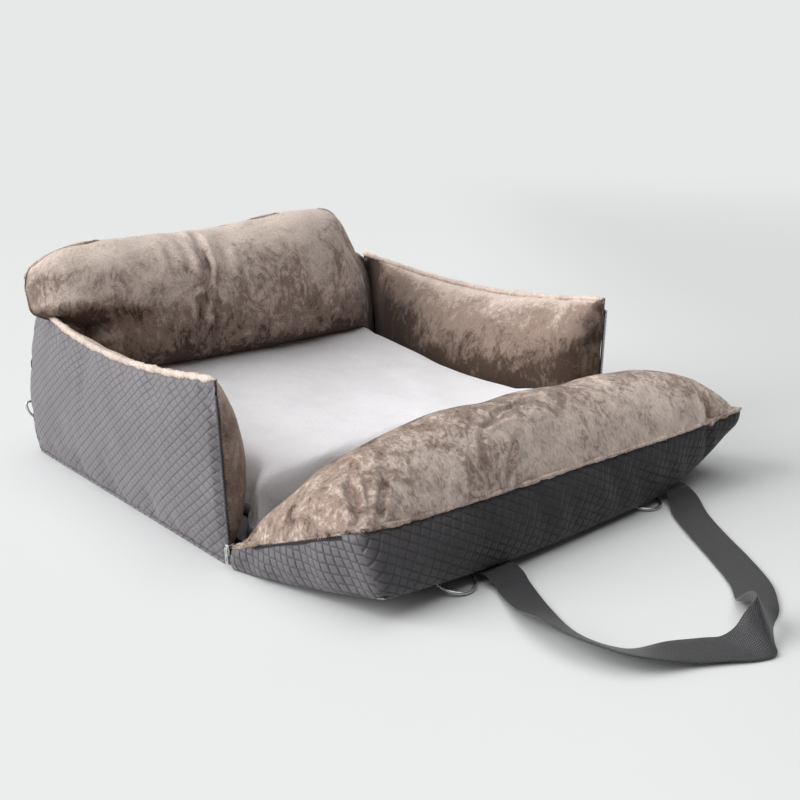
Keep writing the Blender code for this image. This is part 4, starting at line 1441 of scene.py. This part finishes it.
def room_light(colour, strength):
    """A room that is pale behind the seat and dim in front of it; the camera sees it flat."""
    shader = Shader("Studio", bpy.data.worlds.new)
    bpy.context.scene.world = shader.owner
    shader.tree.nodes.clear()
    place = shader.node("ShaderNodeTexCoord").outputs["Generated"]
    tone = shader.grey(shader.range(shader.part(place, 1), -0.6, 0.5, 0.15, 1.1, "LINEAR"))
    room = shader.node("ShaderNodeBackground", {"Color": tone, "Strength": strength})
    seen = shader.node("ShaderNodeBackground", {"Color": (*colour, 1)})
    rays = shader.node("ShaderNodeLightPath").outputs
    direct = shader.math("MAXIMUM", rays["Is Camera Ray"], rays["Is Transmission Ray"])
    both = shader.node("ShaderNodeMixShader", {0: direct, 1: room.outputs[0], 2: seen.outputs[0]})
    shader.node("ShaderNodeOutputWorld", {"Surface": both.outputs[0]})


class SEAT_OT_stage(bpy.types.Operator):
    """Sets the camera, the pale floor and the lights."""

    bl_idname = "seat.stage"
    bl_label = "Studio"

    def execute(self, context):
        stage = context.scene.seat_stage
        lens = bpy.data.cameras.new("Camera")
        lens.lens = camera_lens
        lens.sensor_width = camera_sensor
        camera = add_object("Camera", lens)
        camera.location = camera_place
        camera.rotation_euler = (math.radians(90 - camera_dip), 0, math.radians(-camera_turn))
        context.scene.camera = camera
        bm = bmesh.new()
        bmesh.ops.create_circle(bm, cap_ends=True, segments=96, radius=floor_radius)
        mesh = bpy.data.meshes.new("floor")
        bm.to_mesh(mesh)
        bm.free()
        mesh.materials.append(floor_material(stage.floor_colour[:]))
        floor = add_object("floor", mesh)
        soft_light("Key light", key_place, key_spread, stage.key_power)
        soft_light("Top light", top_place, top_spread, stage.top_power)
        room_light(stage.floor_colour[:], stage.sky_strength)
        context.scene.view_settings.view_transform = "Standard"
        return {"FINISHED"}


class SEAT_OT_base(bpy.types.Operator):
    """Makes the base's cloths and the strip along the fold, and finishes the board."""

    bl_idname = "seat.base"
    bl_label = "Base"

    def execute(self, context):
        for name, finish, slot, node in (
            ("base_quilt", "Quilted cloth", "quilted_grey", "base_cover"),
            ("base_cloth", "Lining cloth", "lining_cloth", "base_lining"),
        ):
            wear(soft_slab(name, finish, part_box(node), base_corner), "bed", slot, node)
        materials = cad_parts["base_board"].data.materials
        materials.clear()
        materials.append(cloths()["Pressed board"])
        self.fold()
        return {"FINISHED"}

    def fold(self):
        """The strip of cloth that joins the base to the panel along the fold."""
        width = 2 * (half_width - fold_cloth_inset)
        spots = [
            Vector((0, -half_depth - seam_gap, 0.0011)),
            Vector((0, mix(-half_depth, fold_y, 0.7), 0.0011)),
            Vector((0, fold_y + 0.0008, 0.0054)),
            Vector((0, fold_y + 0.0008, fold_height - seam_gap)),
        ]
        route = smooth_route(spots, 6)
        across = [Vector((1, 0, 0))] * len(route)
        strip = strap("fold_cloth", route, across, width, fold_cloth_thickness, "Quilted cloth")
        wear(strip, "bed", "quilted_grey", "fold_strip")


class SEAT_OT_walls(bpy.types.Operator):
    """Makes the two side walls and the back wall."""

    bl_idname = "seat.walls"
    bl_label = "Walls"

    def execute(self, context):
        side_wall(-1, "left")
        side_wall(1, "right")
        back_wall()
        return {"FINISHED"}


class SEAT_OT_mat(bpy.types.Operator):
    """Makes the white plush mat."""

    bl_idname = "seat.mat"
    bl_label = "Seat mat"

    def execute(self, context):
        seat_mat()
        return {"FINISHED"}


class SEAT_OT_cushion(bpy.types.Operator):
    """Makes the tall back cushion."""

    bl_idname = "seat.cushion"
    bl_label = "Back cushion"

    def execute(self, context):
        back_cushion()
        return {"FINISHED"}


class SEAT_OT_front_panel(bpy.types.Operator):
    """Makes the folded-down front panel."""

    bl_idname = "seat.front_panel"
    bl_label = "Front panel"

    def execute(self, context):
        panel_plush()
        panel_strip()
        panel_underside()
        return {"FINISHED"}


class SEAT_OT_zips(bpy.types.Operator):
    """Makes the zips, sliders and pulls."""

    bl_idname = "seat.zips"
    bl_label = "Zips"

    def execute(self, context):
        for side, word in ((-1, "left"), (1, "right")):
            wall_zip(side, word)
            panel_zip(side, word)
            slider(side, word)
        return {"FINISHED"}


class SEAT_OT_rings(bpy.types.Operator):
    """Makes the four rings and their tabs."""

    bl_idname = "seat.rings"
    bl_label = "Rings"

    def execute(self, context):
        for word, middle, downward, tail in front_ring_places():
            ring_and_tab(word, middle, downward, tail, "front_panel")
        for word, side in (("rear_left", -1), ("rear_right", 1)):
            middle = Vector((side * rear_ring[0], *rear_ring[1:]))
            ring_and_tab(word, middle, Vector((0, 0, -1)), Vector((0, 0, 1)), "bed")
        return {"FINISHED"}


class SEAT_OT_handles(bpy.types.Operator):
    """Makes the front and rear handles and their sewn ends."""

    bl_idname = "seat.handles"
    bl_label = "Handles"

    def execute(self, context):
        handle("front_strap", *front_handle_route(), "front_handle_body", "front_handle")
        handle("rear_strap", *rear_handle_route(), "rear_handle_body", "rear_handle")
        for word in ("left", "right"):
            patch(f"front_patch_{word}", f"front_handle_patch_{word}", "front_panel", Vector((0, 0, -1)))
            patch(f"rear_patch_{word}", f"rear_handle_patch_{word}", "bed", Vector((0, 1, 0)))
        return {"FINISHED"}


class SEAT_PT_panel(bpy.types.Panel):
    """Lists the seat's settings and pieces."""

    bl_label = "Dog car seat"
    bl_space_type = "VIEW_3D"
    bl_region_type = "UI"
    bl_category = "Seat"

    def draw(self, context):
        layout = self.layout
        scene = context.scene
        groups = (scene.seat_cloth, scene.seat_padding, scene.seat_stage)
        for title, group in zip(("Cloths", "Padding", "Studio"), groups):
            box = layout.box()
            box.label(text=title)
            for name in group.__annotations__:
                box.prop(group, name)
        for operator in OPERATORS:
            layout.operator(operator.bl_idname)


OPERATORS = (
    SEAT_OT_stage,
    SEAT_OT_base,
    SEAT_OT_walls,
    SEAT_OT_mat,
    SEAT_OT_cushion,
    SEAT_OT_front_panel,
    SEAT_OT_zips,
    SEAT_OT_rings,
    SEAT_OT_handles,
)
CLASSES = (ClothSettings, PaddingSettings, StageSettings, *OPERATORS, SEAT_PT_panel)


def register():
    for part in CLASSES:
        bpy.utils.register_class(part)
    bpy.types.Scene.seat_cloth = bpy.props.PointerProperty(type=ClothSettings)
    bpy.types.Scene.seat_padding = bpy.props.PointerProperty(type=PaddingSettings)
    bpy.types.Scene.seat_stage = bpy.props.PointerProperty(type=StageSettings)


def unregister():
    del bpy.types.Scene.seat_stage
    del bpy.types.Scene.seat_padding
    del bpy.types.Scene.seat_cloth
    for part in reversed(CLASSES):
        bpy.utils.unregister_class(part)


def main():
    register()
    for operator in OPERATORS:
        group, name = operator.bl_idname.split(".")
        getattr(getattr(bpy.ops, group), name)()


if __name__ == "__main__":
    main()
